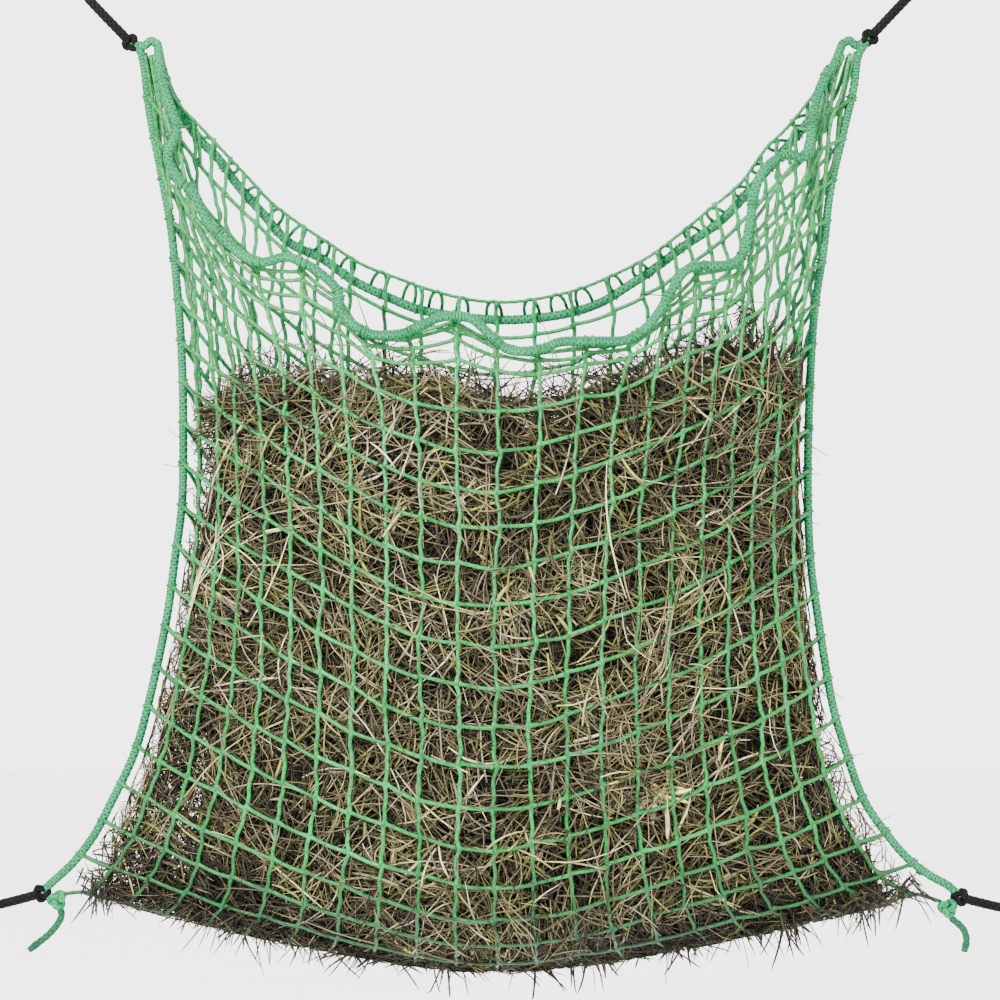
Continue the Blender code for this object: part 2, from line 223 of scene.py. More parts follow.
LOWEST_STEM = -1.234  # the height that no hanging stem goes below
STEM_POINTS = 6  # points along a free stem


# ---------------------------------------------------------------- curves and the bag's shape


def unit(vectors):
    return vectors / np.maximum(np.linalg.norm(vectors, axis=-1, keepdims=True), 1e-12)


def smooth(points, count):
    """Evenly spaced points, this many, along a smooth curve through the given ones."""
    given = np.array(points, float)
    padded = np.vstack([2 * given[0] - given[1], given, 2 * given[-1] - given[-2]])
    fine = []
    for a, b, c, d in zip(padded, padded[1:], padded[2:], padded[3:]):
        for t in np.arange(0, 1, 0.05):
            fine.append(
                b + 0.5 * t * (c - a + t * (2 * a - 5 * b + 4 * c - d + t * (3 * b - 3 * c + d - a)))
            )
    fine = np.array(fine + [given[-1]])
    run = np.concatenate([[0], np.cumsum(np.linalg.norm(np.diff(fine, axis=0), axis=1))])
    return resampled(fine, run, np.linspace(0, run[-1], count))


def along(route, share):
    """The points at these shares of the length of an evenly spaced route."""
    at = np.asarray(share, float) * (len(route) - 1)
    return np.stack([np.interp(at, range(len(route)), column) for column in route.T], -1)


def flat_route(points, count, y=0.0):
    """A smooth route in the plane at y."""
    x, z = smooth(points, count).T
    return np.column_stack([x, np.full(count, y), z])


def resampled(path, run, at):
    """The points of a path at these lengths along it, run being its points' own lengths."""
    return np.column_stack([np.interp(at, run, column) for column in np.asarray(path).T])


def length_of(points):
    return float(np.linalg.norm(np.diff(points, axis=0), axis=1).sum())


SIDE = {-1: smooth(LEFT_ROPE, 200), 1: smooth(RIGHT_ROPE, 200)}
MIDDLE = {face: smooth(points, 200) for face, points in PROFILE.items()}
MOUTH = {FRONT: smooth(MOUTH_FRONT, 400), BACK: smooth(BACK_EDGE, 400)}


def bag_depth(face, u, v):
    """How far the bag stands out of the plane of the side ropes."""
    bend = np.interp(v, CURVE_V, CURVE)
    across = (np.cos(bend * u) - np.cos(bend)) / (1 - np.cos(bend))
    return along(MIDDLE[face], v)[..., 0] * across


def row_rise(u, v):
    """How far a row has risen from its middle towards the side rope, from 0 to 1."""
    power = np.interp(v, (0, 1), SAG_POWER) / 2
    low = SAG_ROUND**power
    return ((u * u + SAG_ROUND) ** power - low) / ((1 + SAG_ROUND) ** power - low)


def bag_point(face, u, v):
    """Points of the bag: u from -1 at the left rope to 1 at the right, v from 0 at the mouth to 1."""
    u, v = np.broadcast_arrays(np.asarray(u, float), np.asarray(v, float))
    rope = np.where((u > 0)[..., None], along(SIDE[1], v), along(SIDE[-1], v))
    middle_z = along(MIDDLE[face], v)[..., 1]
    bend = np.interp(v, CURVE_V, CURVE)
    x = rope[..., 0] * np.sin(bend * np.abs(u)) / np.sin(bend)
    z = middle_z + (rope[..., 1] - middle_z) * row_rise(u, v)
    return np.stack([x, face * bag_depth(face, u, v), z], -1)


def mouth_share(u):
    """Where along the mouth a column ends: the meshes gather towards the corners."""
    end = (1 - np.abs(u)) / 2
    end = end * (1 - CORNER_PULL * np.exp(-((end / CORNER_REACH) ** 2)))
    return np.where(u > 0, 1 - end, end)


def net_point(face, u, v):
    """Points of the sheet: the bag, drawn to its mouth rope near the top."""
    u, v = np.broadcast_arrays(np.asarray(u, float), np.asarray(v, float))
    point = bag_point(face, u, v)
    fade = np.maximum(0.0, 1 - v / (MOUTH_PULL[0] + MOUTH_PULL[1] * np.abs(u))) ** 2
    mouth = along(MOUTH[face], mouth_share(u))
    top = bag_point(face, u, np.zeros_like(u))
    point[..., 0] += fade * (mouth[..., 0] - top[..., 0])
    point[..., 2] += fade * (mouth[..., 1] - top[..., 2])
    point[..., 1] += face * SHEET_OFF
    return point


def mouth_route(face, points, count, off, v):
    """A route along the mouth, this far outside the sheet."""
    share = np.linspace(0, 1, count)
    x, z = smooth(points, count).T
    y = bag_depth(face, 2 * share - 1, np.full(count, v)) + SHEET_OFF + off
    return np.column_stack([x, face * y, z])


# ---------------------------------------------------------------- meshes


class Shape:
    """Points and faces gathered for one piece, with its numbers per point."""

    def __init__(self):
        self.points, self.faces, self.values, self.slots = [], [], {}, []
        self.count = 0

    def add(self, points, faces, slot=0, **values):
        self.points.append(points)
        for group in faces:
            if len(group):
                self.faces.append(group + self.count)
                self.slots.append(np.full(len(group), slot, np.int32))
        for name in ("tone", "run", "turn"):
            value = np.broadcast_to(np.asarray(values.get(name, 0.0), float), len(points))
            self.values.setdefault(name, []).append(value)
        self.count += len(points)

    def make(self, name, *materials):
        mesh = bpy.data.meshes.new(name)
        points = np.vstack(self.points).astype(np.float32)
        sizes = np.concatenate([np.full(len(f), f.shape[1], np.int32) for f in self.faces])
        loops = np.concatenate([f.ravel() for f in self.faces]).astype(np.int32)
        starts = np.concatenate([[0], np.cumsum(sizes)[:-1]]).astype(np.int32)
        mesh.vertices.add(len(points))
        mesh.vertices.foreach_set("co", points.ravel())
        mesh.loops.add(len(loops))
        mesh.loops.foreach_set("vertex_index", loops)
        mesh.polygons.add(len(sizes))
        mesh.polygons.foreach_set("loop_start", starts)
        for material in materials:
            mesh.materials.append(material)
        mesh.polygons.foreach_set("material_index", np.concatenate(self.slots))
        for key, lists in self.values.items():
            layer = mesh.attributes.new(key, "FLOAT", "POINT")
            layer.data.foreach_set("value", np.concatenate(lists).astype(np.float32))
        mesh.update(calc_edges=True)
        mesh.shade_smooth()
        piece = bpy.data.objects.new(name, mesh)
        bpy.context.scene.collection.objects.link(piece)
        return piece


def frames(paths, closed=False):
    """Unit tangents and two unit normals along several paths, turning as little as they can."""
    if closed:
        tangent = unit(np.roll(paths, -1, 1) - np.roll(paths, 1, 1))
    else:
        tangent = unit(np.gradient(paths, axis=1))
    axis = np.eye(3)[np.abs(tangent[:, 0]).argmin(-1)]
    side = np.cross(tangent[:, 0], axis)
    sides = np.empty_like(paths)
    for i in range(paths.shape[1]):
        side = side - (side * tangent[:, i]).sum(-1, keepdims=True) * tangent[:, i]
        side = unit(side)
        sides[:, i] = side
    return tangent, sides, np.cross(tangent, sides)


def run_of(paths):
    steps = np.linalg.norm(np.diff(paths, axis=1), axis=-1)
    return np.concatenate([np.zeros((len(paths), 1)), np.cumsum(steps, axis=1)], axis=1)


def add_tubes(shape, paths, radii, sides, relief=None, flat=1.0, closed=False, slot=0, tone=0.0):
    """Tubes along paths of equally many points. relief(angle, run) scales the radius."""
    paths = np.asarray(paths, float)
    if paths.ndim == 2:
        paths = paths[None]
    n, p, _ = paths.shape
    radii = np.broadcast_to(np.asarray(radii, float), (n, p))
    _, one, two = frames(paths, closed)
    run = run_of(paths)
    angle = 2 * math.pi * np.arange(sides) / sides
    turn = np.broadcast_to(angle, (n, p, sides))
    runs = np.broadcast_to(run[..., None], (n, p, sides))
    reach = radii[..., None] * (1.0 if relief is None else relief(turn, runs))
    around = one[:, :, None] * np.cos(angle)[:, None] + two[:, :, None] * (
        flat * np.sin(angle)[:, None]
    )
    points = (paths[:, :, None] + reach[..., None] * around).reshape(-1, 3)
    index = np.arange(n * p * sides).reshape(n, p, sides)
    if closed:
        ahead = np.roll(index, -1, 1)
    else:
        index, ahead = index[:, :-1], index[:, 1:]
    beside, ahead_beside = np.roll(index, -1, 2), np.roll(ahead, -1, 2)
    quads = np.stack([index, beside, ahead_beside, ahead], -1).reshape(-1, 4)
    faces = [quads]
    tones = np.asarray(tone, float)
    tones = np.broadcast_to(tones if tones.ndim == 2 else tones.reshape(-1, 1), (n, p))
    tone_out = np.repeat(tones.ravel(), sides)
    run_out, turn_out = runs.ravel(), turn.ravel()
    if not closed:
        ends = np.concatenate([paths[:, 0], paths[:, -1]])
        first = len(points) + np.arange(n)
        last = first + n
        points = np.vstack([points, ends])
        every = np.arange(n * p * sides).reshape(n, p, sides)
        low, high = every[:, 0], every[:, -1]
        faces.append(
            np.stack([np.roll(low, -1, 1), low, np.broadcast_to(first[:, None], low.shape)], -1)
            .reshape(-1, 3)
        )
        faces.append(
            np.stack([high, np.roll(high, -1, 1), np.broadcast_to(last[:, None], low.shape)], -1)
            .reshape(-1, 3)
        )
        tone_out = np.concatenate([tone_out, tones[:, 0], tones[:, -1]])
        run_out = np.concatenate([run_out, run[:, 0], run[:, -1]])
        turn_out = np.concatenate([turn_out, np.zeros(2 * n)])
    shape.add(points, faces, slot, tone=tone_out, run=run_out, turn=turn_out)


def twisted(strands, pitch, depth):
    """Relief of a cord laid up from this many strands."""
    return lambda turn, run: 1 + depth * np.cos(strands * turn - 2 * math.pi * run / pitch)


def braided(strands, pitch, depth):
    """Relief of a cord braided from strands that turn both ways."""

    def relief(turn, run):
        one = np.cos(strands * turn - 2 * math.pi * run / pitch)
        two = np.cos(strands * turn + 2 * math.pi * run / pitch)
        return 1 + depth * (np.maximum(one, two) - 0.5)

    return relief


def winding(path, radius, pitch, per_turn=10):
    """A helix round a path."""
    path = np.asarray(path, float)
    run = run_of(path[None])[0]
    count = max(4, int(run[-1] / pitch * per_turn))
    at = np.linspace(0, run[-1], count)
    centre, one, two = (resampled(rows, run, at) for rows in (path, *(x[0] for x in frames(path[None])[1:])))
    angle = (2 * math.pi * at / pitch)[:, None]
    return centre + radius * (unit(one) * np.cos(angle) + unit(two) * np.sin(angle))


def settle(piece, slot, body, *nodes):
    """Gives a piece its body and hides the CAD nodes it stands for; the slot is not used."""
    if nodes:
        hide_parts(*nodes)
    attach(piece, body)
    return piece


# ---------------------------------------------------------------- materials


class Nodes:
    """Builds one node material."""

    def __init__(self, name, roughness=0.5, gloss=0.15):
        self.material = bpy.data.materials.new(name)
        self.material.use_nodes = True
        self.tree = self.material.node_tree
        self.shader = self.tree.nodes["Principled BSDF"]
        self.shader.inputs["Roughness"].default_value = roughness
        self.shader.inputs["Specular IOR Level"].default_value = gloss

    def node(self, kind, settings=None, **inputs):
        made = self.tree.nodes.new(kind)
        for key, value in (settings or {}).items():
            setattr(made, key, value)
        for key, value in inputs.items():
            socket = made.inputs[int(key[1:]) if key[1:].isdigit() else key.replace("_", " ")]
            if isinstance(value, bpy.types.NodeSocket):
                self.tree.links.new(value, socket)
            else:
                socket.default_value = value
        return made

    def math(self, operation, *values):
        inputs = {f"i{index}": value for index, value in enumerate(values)}
        return self.node("ShaderNodeMath", {"operation": operation}, **inputs).outputs[0]

    def scaled(self, value, factor, offset):
        return self.math("MULTIPLY_ADD", value, factor, offset)

    def attribute(self, name):
        return self.node("ShaderNodeAttribute", {"attribute_name": name}).outputs["Fac"]

    def noise(self, scale, detail=3.0):
        place = self.node("ShaderNodeTexCoord").outputs["Object"]
        return self.node("ShaderNodeTexNoise", Vector=place, Scale=scale, Detail=detail).outputs["Fac"]

    def ramp(self, factor, stops):
        made = self.node("ShaderNodeValToRGB", Fac=factor)
        ramp = made.color_ramp
        while len(ramp.elements) < len(stops):
            ramp.elements.new(0.5)
        for element, (place, colour) in zip(ramp.elements, stops):
            element.position = place
            element.color = (*colour, 1)
        return made.outputs["Color"]

    def mix(self, factor, one, two):
        made = self.node("ShaderNodeMix", {"data_type": "RGBA"}, i0=factor, i6=one, i7=two)
        return made.outputs[2]

    def finish(self, colour, roughness=None, height=None, distance=0.0005, strength=0.6):
        self.tree.links.new(colour, self.shader.inputs["Base Color"])
        if roughness is not None:
            self.tree.links.new(roughness, self.shader.inputs["Roughness"])
        if height is not None:
            bump = self.node("ShaderNodeBump", Height=height, Distance=distance, Strength=strength)
            self.tree.links.new(bump.outputs["Normal"], self.shader.inputs["Normal"])
        return self.material


def plait(nodes, strands, pitch):
    """A braid's crossing strands, from the place along and round the cord."""
    run = nodes.math("MULTIPLY", nodes.attribute("run"), 2 * math.pi / pitch)
    turn = nodes.math("MULTIPLY", nodes.attribute("turn"), strands)
    one = nodes.math("COSINE", nodes.math("SUBTRACT", turn, run))
    two = nodes.math("COSINE", nodes.math("ADD", turn, run))
    return nodes.math("MAXIMUM", one, two)


def cord_material(name, colours, strands, pitch, roughness=0.45, gloss=0.12, weave=0.32):
    """A braided cord: dark, middle and light colours, and how much the weave shows."""
    nodes = Nodes(name, gloss=gloss)
    strand = plait(nodes, strands, pitch)
    level = nodes.scaled(strand, weave, 0.58 - weave / 2)
    patchy = nodes.scaled(nodes.noise(38.0), 0.6, -0.30)
    fine = nodes.scaled(nodes.noise(900.0, 2.0), 0.3, -0.15)
    woven = nodes.math("ADD", level, patchy)
    own = nodes.math("ADD", fine, nodes.attribute("tone"))
    tone = nodes.math("ADD", woven, own)
    colour = nodes.ramp(tone, list(zip((0.0, 0.5, 1.0), colours)))
    rough = nodes.scaled(nodes.noise(300.0), 0.3, roughness - 0.15)
    return nodes.finish(colour, rough, strand, 0.0006, 2.2 * weave)


def net_material():
    colours = (0.0002, 0.013, 0.0024), (0.0005, 0.062, 0.0085), (0.012, 0.235, 0.050)
    return cord_material("net_cord", colours, 2, 0.0115, 0.38, 0.25, 0.10)


# Painted shade: the netting's colours again, bluer and less bright at the light end, for the back sheet in
# shade; the fold cord, the lacing and the back edge cord take it too.
def painted_shade_net_material():
    colours = (0.0003, 0.020, 0.005), (0.0010, 0.088, 0.020), (0.010, 0.22, 0.062)
    return cord_material("net_cord_painted_shade", colours, 2, 0.0115, 0.4, 0.2, 0.12)


def rope_material():
    colours = (0.0006, 0.024, 0.009), (0.0028, 0.090, 0.030), (0.018, 0.20, 0.080)
    return cord_material("rope", colours, 4, 0.0075, 0.55, 0.12, 0.22)


def whipping_material():
    colours = (0.001, 0.015, 0.008), (0.004, 0.05, 0.022), (0.012, 0.09, 0.045)
    return cord_material("rope_whipping", colours, 2, 0.003, 0.5)


def tie_material():
    colours = (0.0006, 0.0006, 0.0006), (0.0018, 0.0017, 0.0017), (0.006, 0.0058, 0.0058)
    return cord_material("tie", colours, 5, 0.0075, 0.6, 0.04)


def hay_material(name, stops, others):
    """Hay whose colour runs between two ramps from place to place."""
    nodes = Nodes(name, 0.7)
    streak = nodes.scaled(nodes.noise(160.0, 3.0), 0.36, -0.18)
    tone = nodes.math("ADD", nodes.attribute("tone"), streak)
    place = nodes.ramp(nodes.noise(26.0, 2.0), [(0.42, (0, 0, 0)), (0.58, (1, 1, 1))])
    colour = nodes.mix(place, nodes.ramp(tone, stops), nodes.ramp(tone, others))
    rough = nodes.scaled(nodes.noise(500.0), 0.35, 0.5)
    return nodes.finish(colour, rough, nodes.noise(1200.0, 2.0), 0.0004, 0.5)


STRAW_STOPS = [
    (0.0, (0.0024, 0.0021, 0.0010)), (0.22, (0.0105, 0.0090, 0.0038)), (0.42, (0.038, 0.034, 0.0125)),
    (0.62, (0.105, 0.094, 0.034)), (0.82, (0.230, 0.205, 0.086)), (1.0, (0.47, 0.42, 0.22)),
]
FADED_STOPS = [
    (0.0, (0.0024, 0.0018, 0.0010)), (0.22, (0.0110, 0.0084, 0.0042)), (0.42, (0.038, 0.0305, 0.0150)),
    (0.62, (0.098, 0.083, 0.044)), (0.82, (0.212, 0.188, 0.108)), (1.0, (0.45, 0.41, 0.26)),
]
GREEN_STOPS = [
    (0.0, (0.010, 0.013, 0.003)), (0.5, (0.070, 0.078, 0.016)), (1.0, (0.42, 0.42, 0.10)),
]
# painted shade: near black colours for the heart of the hay, which lies in deep shade
SHADED_CORE_STOPS = [
    (0.0, (0.0015, 0.001, 0.0007)), (0.5, (0.006, 0.004, 0.0022)), (1.0, (0.020, 0.013, 0.007)),
]


# ---------------------------------------------------------------- camera, lights, floor


def make_camera():
    data = bpy.data.cameras.new("camera")
    camera = bpy.data.objects.new("camera", data)
    bpy.context.scene.collection.objects.link(camera)
    camera.location = (EYE_X, -EYE_DISTANCE, EYE_Z)
    camera.rotation_euler = (math.pi / 2, 0, 0)
    data.sensor_width = SENSOR
    data.lens = SENSOR * EYE_DISTANCE / VIEW_WIDTH
    data.clip_end = 60
    bpy.context.scene.camera = camera


def area_light(name, place, target, size, power):
    data = bpy.data.lights.new(name, "AREA")
    data.shape = "DISK"
    data.size = size
    data.energy = power
    light = bpy.data.objects.new(name, data)
    bpy.context.scene.collection.objects.link(light)
    light.location = place
    light.rotation_mode = "QUATERNION"
    aim = Vector(target) - Vector(place)
    light.rotation_quaternion = aim.to_track_quat("-Z", "Y")


def make_studio():
    world = bpy.data.worlds.new("studio")
    bpy.context.scene.world = world
    world.use_nodes = True
    sky = world.node_tree.nodes["Background"]
    sky.inputs["Color"].default_value = (1, 1, 1, 1)
    sky.inputs["Strength"].default_value = SKY
    area_light("key", (-1.6, -3.2, 1.3), (0, 0, -0.65), 0.8, KEY_POWER)
    area_light("fill", (2.2, -2.6, 0.2), (0, 0, -0.7), 1.6, FILL_POWER)
    floor_nodes = Nodes("floor", 0.8)
    greys = [(0.3, (0.88, 0.88, 0.88)), (0.7, (0.93, 0.93, 0.93))]
    floor_nodes.finish(floor_nodes.ramp(floor_nodes.noise(0.6, 2.0), greys))
    mesh = bpy.data.meshes.new("floor")
    corners = [(x * FLOOR_REACH, y * FLOOR_REACH, FLOOR_Z) for x, y in ((-1, -1), (1, -1), (1, 1), (-1, 1))]
    mesh.from_pydata(corners, [], [(0, 1, 2, 3)])
    mesh.materials.append(floor_nodes.material)
    floor = bpy.data.objects.new("floor", mesh)
    bpy.context.scene.collection.objects.link(floor)


# ---------------------------------------------------------------- ties, loops, knots and tails


def centre_of(node):
    low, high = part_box(node)
    return np.array((low + high) / 2)


def knot_path(centre, reach, count=90, turn=0.0):
    """An overhand knot pulled tight, open at its two ends inside the lump."""
    t = np.linspace(0.25, 2 * math.pi - 0.05, count)
    x = np.sin(t) + 2 * np.sin(2 * t)
    z = np.cos(t) - 2 * np.cos(2 * t)
    y = -np.sin(3 * t)
    cos, sin = math.cos(turn), math.sin(turn)
    x, z = x * cos - z * sin, x * sin + z * cos
    return centre + np.column_stack([x, 0.9 * y, z]) * (reach / 3.0)


def add_knot(shape, centre, size, cord, turn=0.0, relief=None):
    """A knot of that cord, about as big as size each way from its centre."""
    path = knot_path(centre, size - cord / 2, turn=turn)
    add_tubes(shape, path, cord / 2, 12, relief)


def tie_cord(corner, path, black):
    shape = Shape()
    add_tubes(shape, path, TIE * 0.53, 20, braided(*TIE_BRAID))
    return shape.make(f"tie_cord_{corner}_braid", black)


def loop_knot(corner, angle, black):
    shape = Shape()
    add_knot(shape, centre_of(f"tie_loop_knot_{corner}"), 0.0095, 0.0062, angle, braided(3, 0.005, 0.08))
    return shape.make(f"tie_loop_knot_{corner}_braid", black)


def tie_loop(corner, aim, across, black):
    """The teardrop loop past the knot, open where it goes into it."""
    shape = Shape()
    low, high = (np.array(x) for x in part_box(f"tie_loop_{corner}"))
    middle = (low + high)[[0, 2]] / 2
    t = np.linspace(0.12, 2 * math.pi - 0.12, 60)
    bulge = 1 - 0.25 * np.cos(t)
    flat = (
        middle
        - np.outer(np.cos(t) * 0.0185, aim)
        + np.outer(np.sin(t) * bulge * 0.0118, across)
    )
    ring = np.column_stack([flat[:, 0], 0.0012 * np.sin(2 * t), flat[:, 1]])
    add_tubes(shape, ring, LOOP_CORD / 2, 16, braided(5, 0.0075, 0.08))
    return shape.make(f"tie_loop_{corner}_braid", black)


def tie_knot(corner, aim, across, angle, black):
    """The knot at the net's corner, with a collar where the cord leaves it."""
    shape = Shape()
    centre = centre_of(f"tie_knot_{corner}")
    add_knot(shape, centre, 0.0122, 0.0090, angle + 0.6, braided(3, 0.006, 0.08))
    collar = centre[[0, 2]] + aim * 0.0062
    t = np.linspace(0, 2 * math.pi, 40, endpoint=False)
    ring = np.column_stack([
        collar[0] + across[0] * 0.0048 * np.cos(t),
        0.0048 * np.sin(t),
        collar[1] + across[1] * 0.0048 * np.cos(t),
    ])
    add_tubes(shape, ring, 0.0024, 10, closed=True)
    piece = shape.make(f"tie_knot_{corner}_braid", black)
    settle(piece, "tie_cord", "net", f"tie_knot_{corner}")


def make_ties(black):
    for corner, points in TIES.items():
        aim = unit(np.array(points[-1]) - np.array(points[-2]))
        across = np.array((-aim[1], aim[0]))
        angle = math.atan2(aim[1], aim[0])
        path = flat_route(points, 60)
        run = run_of(path[None])[0]
        path = resampled(path, run, np.linspace(0.0045, run[-1] - 0.004, 60))
        cord = tie_cord(corner, path, black)
        knot = loop_knot(corner, angle, black)
        loop = tie_loop(corner, aim, across, black)
        for piece, node in ((cord, "tie_cord_"), (knot, "tie_loop_knot_"), (loop, "tie_loop_")):
            settle(piece, "tie_cord", f"tie_{corner}", node + corner)
        tie_knot(corner, aim, across, angle, black)


def make_tails(rope, whip):
    for side, points in TAILS.items():
        path = flat_route((STOPPERS[side], *points), 60)
        path[:, 1] += 0.003 * np.sin(np.linspace(0, math.pi, 60))
        shape = Shape()
        taper = np.interp(np.linspace(0, 1, 60), (0, 0.9, 1), (1, 1, 0.8))
        add_tubes(shape, path, TAIL / 2 * taper, 16, braided(4, 0.0085, 0.10), tone=TAIL_TONE)
        tail = shape.make(f"rope_tail_{side}_braid", rope)

        shape = Shape()
        thread = winding(path[-12:-5], TAIL / 2 * 0.98, 0.0016)
        add_tubes(shape, thread, 0.0008, 5)
        whipping = shape.make(f"rope_tail_{side}_whipping", whip)

        settle(tail, "braided_rope", f"tail_{side}", f"rope_tail_{side}")
        settle(whipping, "braided_rope", f"tail_{side}")

        shape = Shape()
        centre = centre_of(f"stopper_knot_{side}")
        turn = 0.4 if side == "left" else 2.4
        add_knot(shape, centre, 0.0135, 0.0086, turn, braided(4, 0.007, 0.1))
        knot = shape.make(f"stopper_knot_{side}_braid", rope)
        settle(knot, "braided_rope", "net", f"stopper_knot_{side}")


# ---------------------------------------------------------------- ropes


def even(path, step):
    """The path again, with points about step apart."""
    run = run_of(path[None])[0]
    return resampled(path, run, np.linspace(0, run[-1], int(run[-1] / step) + 2))


def rope_piece(name, path, body, looks, diameter, *nodes):
    """A braided rope, whipped along its length with thin dark cord."""
    shape = Shape()
    path = even(path, 0.0018)
    add_tubes(shape, path, diameter / 2, 16, braided(*ROPE_BRAID))
    thread = winding(path, diameter / 2 * 0.98, 0.0040)
    add_tubes(shape, thread, WHIPPING / 2, 5, slot=1)
    settle(shape.make(name, *looks), "braided_rope", body, *nodes)


def make_side_ropes(looks):
    for side, points in (("left", LEFT_ROPE), ("right", RIGHT_ROPE)):
        ends = [centre_of(f"tie_knot_{end}_{side}")[[0, 2]] for end in ("top", "bottom")]
        path = flat_route((ends[0], *points, ends[1]), 600)
        rope_piece(f"side_rope_{side}_braid", path, "net", looks, ROPE, f"side_rope_{side}")


def make_mouth_ropes(looks):
    """Both mouth ropes, and the bights that tie them to the top corners."""
    front = mouth_route(FRONT, MOUTH_FRONT, 400, ROPE_OFF, ROPE_V)
    back = mouth_route(BACK, BACK_ROPE, 400, ROPE_OFF, ROPE_V)
    rope_piece("mouth_rope_front_braid", front, "front_mouth", looks, MOUTH_ROPE, "mouth_rope_front")
    rope_piece("mouth_rope_back_braid", back, "net", looks, MOUTH_ROPE, "mouth_rope_back")
    for side, points in CORNER_LOOPS.items():
        knot = centre_of(f"tie_knot_top_{side}")[[0, 2]]
        start = knot + 0.3 * (np.array(points[1]) - knot)
        bight = flat_route((start, *points[1:-1]), 24)
        for face, mouth in (("front", front), ("back", back)):
            ends = (mouth if side == "left" else mouth[::-1])[2:14:4]
            path = smooth([*bight, *ends], 120)
            nodes = [f"corner_loop_{side}"] if face == "front" else []
            rope_piece(f"corner_loop_{side}_{face}_braid", path, "net", looks, ROPE, *nodes)
    return back


def make_edge_cord(back_rope, material):
    """The thin cord along the back edge, and a loop at each mesh that hangs the thick rope from it."""
    shape = Shape()
    edge = even(mouth_route(BACK, BACK_EDGE, 500, 0, 0), 0.0022)
    add_tubes(shape, edge, EDGE_CORD / 2, 9, twisted(3, 0.011, 0.1), tone=-0.1)
    rng = np.random.default_rng(5)
    for share in np.linspace(0.07, 0.93, 25) + rng.normal(0, 0.003, 25):
        top, low = along(edge, share), along(back_rope, share)
        if np.linalg.norm(top - low) < 0.012:
            continue
        ahead = along(edge, share + 0.01) - along(edge, share - 0.01)
        wide = unit(ahead) * rng.uniform(0.007, 0.010)
        t = np.linspace(-1, 1, 22)[:, None]
        rise = np.sqrt(np.maximum(0.0, 1 - t**2)) ** 0.7
        arch = low + wide * t + (top - low) * rise * 1.04
        arch[:, 1] += 0.006 * (1 - rise[:, 0])
        add_tubes(shape, arch, 0.0023, 6, tone=rng.uniform(-0.25, 0.1))
    settle(shape.make("back_edge_cord_twist", material), "net_cord", "net", "back_edge_cord")


# ---------------------------------------------------------------- netting


def wobble(rng, u, v, size):
    """A smooth irregularity over the netting, the same in x, y and z by size."""
    out = np.zeros(np.shape(u) + (3,))
    for _ in range(10):
        a, b = rng.normal(0, 5.0, 2)
        phase, axis = rng.uniform(0, 2 * math.pi), rng.integers(0, 3)
        out[..., axis] += np.sin(a * u + b * v * 1.4 + phase)
    return out * np.array(size) / 1.8


def row_height(face, row, u):
    """Where a row lies in the bag, from 0 at the mouth to 1 at the fold."""
    at_rope = 1 - row / ROWS
    if face == BACK:
        return np.broadcast_to(at_rope, np.shape(u)).astype(float)
    even_rows = 1 - row / EVEN_ROWS * (1 - EVEN_TOP)
    bunched = np.interp(row, BUNCHED_ROWS, BUNCHED_TOPS)
    middle = np.where(row <= EVEN_ROWS, even_rows, bunched)
    return middle + (at_rope - middle) * np.abs(u) ** ROW_POWER


def junctions(face, rng):
    """Crossing points, by column from rope to rope and by row from the fold to the mouth."""
    column = np.linspace(-1, 1, 2 * COLUMNS + 1)[:, None]
    row = np.arange(ROWS + 1)[None, :]
    u, row = np.broadcast_arrays(column, row)
    v = row_height(face, row, u)
    points = net_point(face, u, v)
    for end, side in ((0, -1), (-1, 1)):
        points[end][:, [0, 2]] = along(SIDE[side], v[end])
        points[end][:, 1] = face * 0.002
    inner = (1 - np.abs(u) ** 6)[..., None] * np.minimum(1, np.minimum(v, 1 - v) / 0.08)[..., None]
    points += inner * wobble(rng, u, v, (0.0035, 0.005, 0.003))
    points += inner * rng.normal(0, 1, points.shape) * (0.0016, 0.001, 0.0016)
    return points


def knotted(distance, radius):
    """A cord's radius, thicker where a crossing is this near."""
    return radius * (1 + 0.42 * np.exp(-((distance / 0.0042) ** 2)))


def fold_shade(path):
    """Painted shade: how much darker a cord is where it comes near the fold."""
    above = path[..., 2] - fold_height(path[..., 0])
    return -FOLD_SHADE * np.clip(1 - above / FOLD_SHADE_HEIGHT, 0, 1)


def column_cord(shape, rng, knots, radius, step, sides, tone):
    """One cord down a column, with a swelling and a small step at each crossing."""
    count = int(length_of(knots) / step)
    path = smooth(knots, count)
    run = run_of(path[None])[0]
    nearest = np.linalg.norm(path[:, None] - knots[None], axis=-1)
    order, near = nearest.argmin(1), nearest.min(1)
    shift = rng.normal(0, 0.0011, len(knots))
    path[:, 0] += shift[order] * np.exp(-((near / 0.009) ** 2))
    path[:, 0] += 0.0008 * np.sin(run * 2 * math.pi / 0.031 + rng.uniform(0, 6))
    path[:, 1] += 0.0006 * np.sin(run * 2 * math.pi / 0.043 + rng.uniform(0, 6))
    # the cord's own tone, with painted shade near the fold
    shade = tone + fold_shade(path)[None]
    add_tubes(shape, path, knotted(near, radius), sides, twisted(*NET_TWIST), tone=shade)


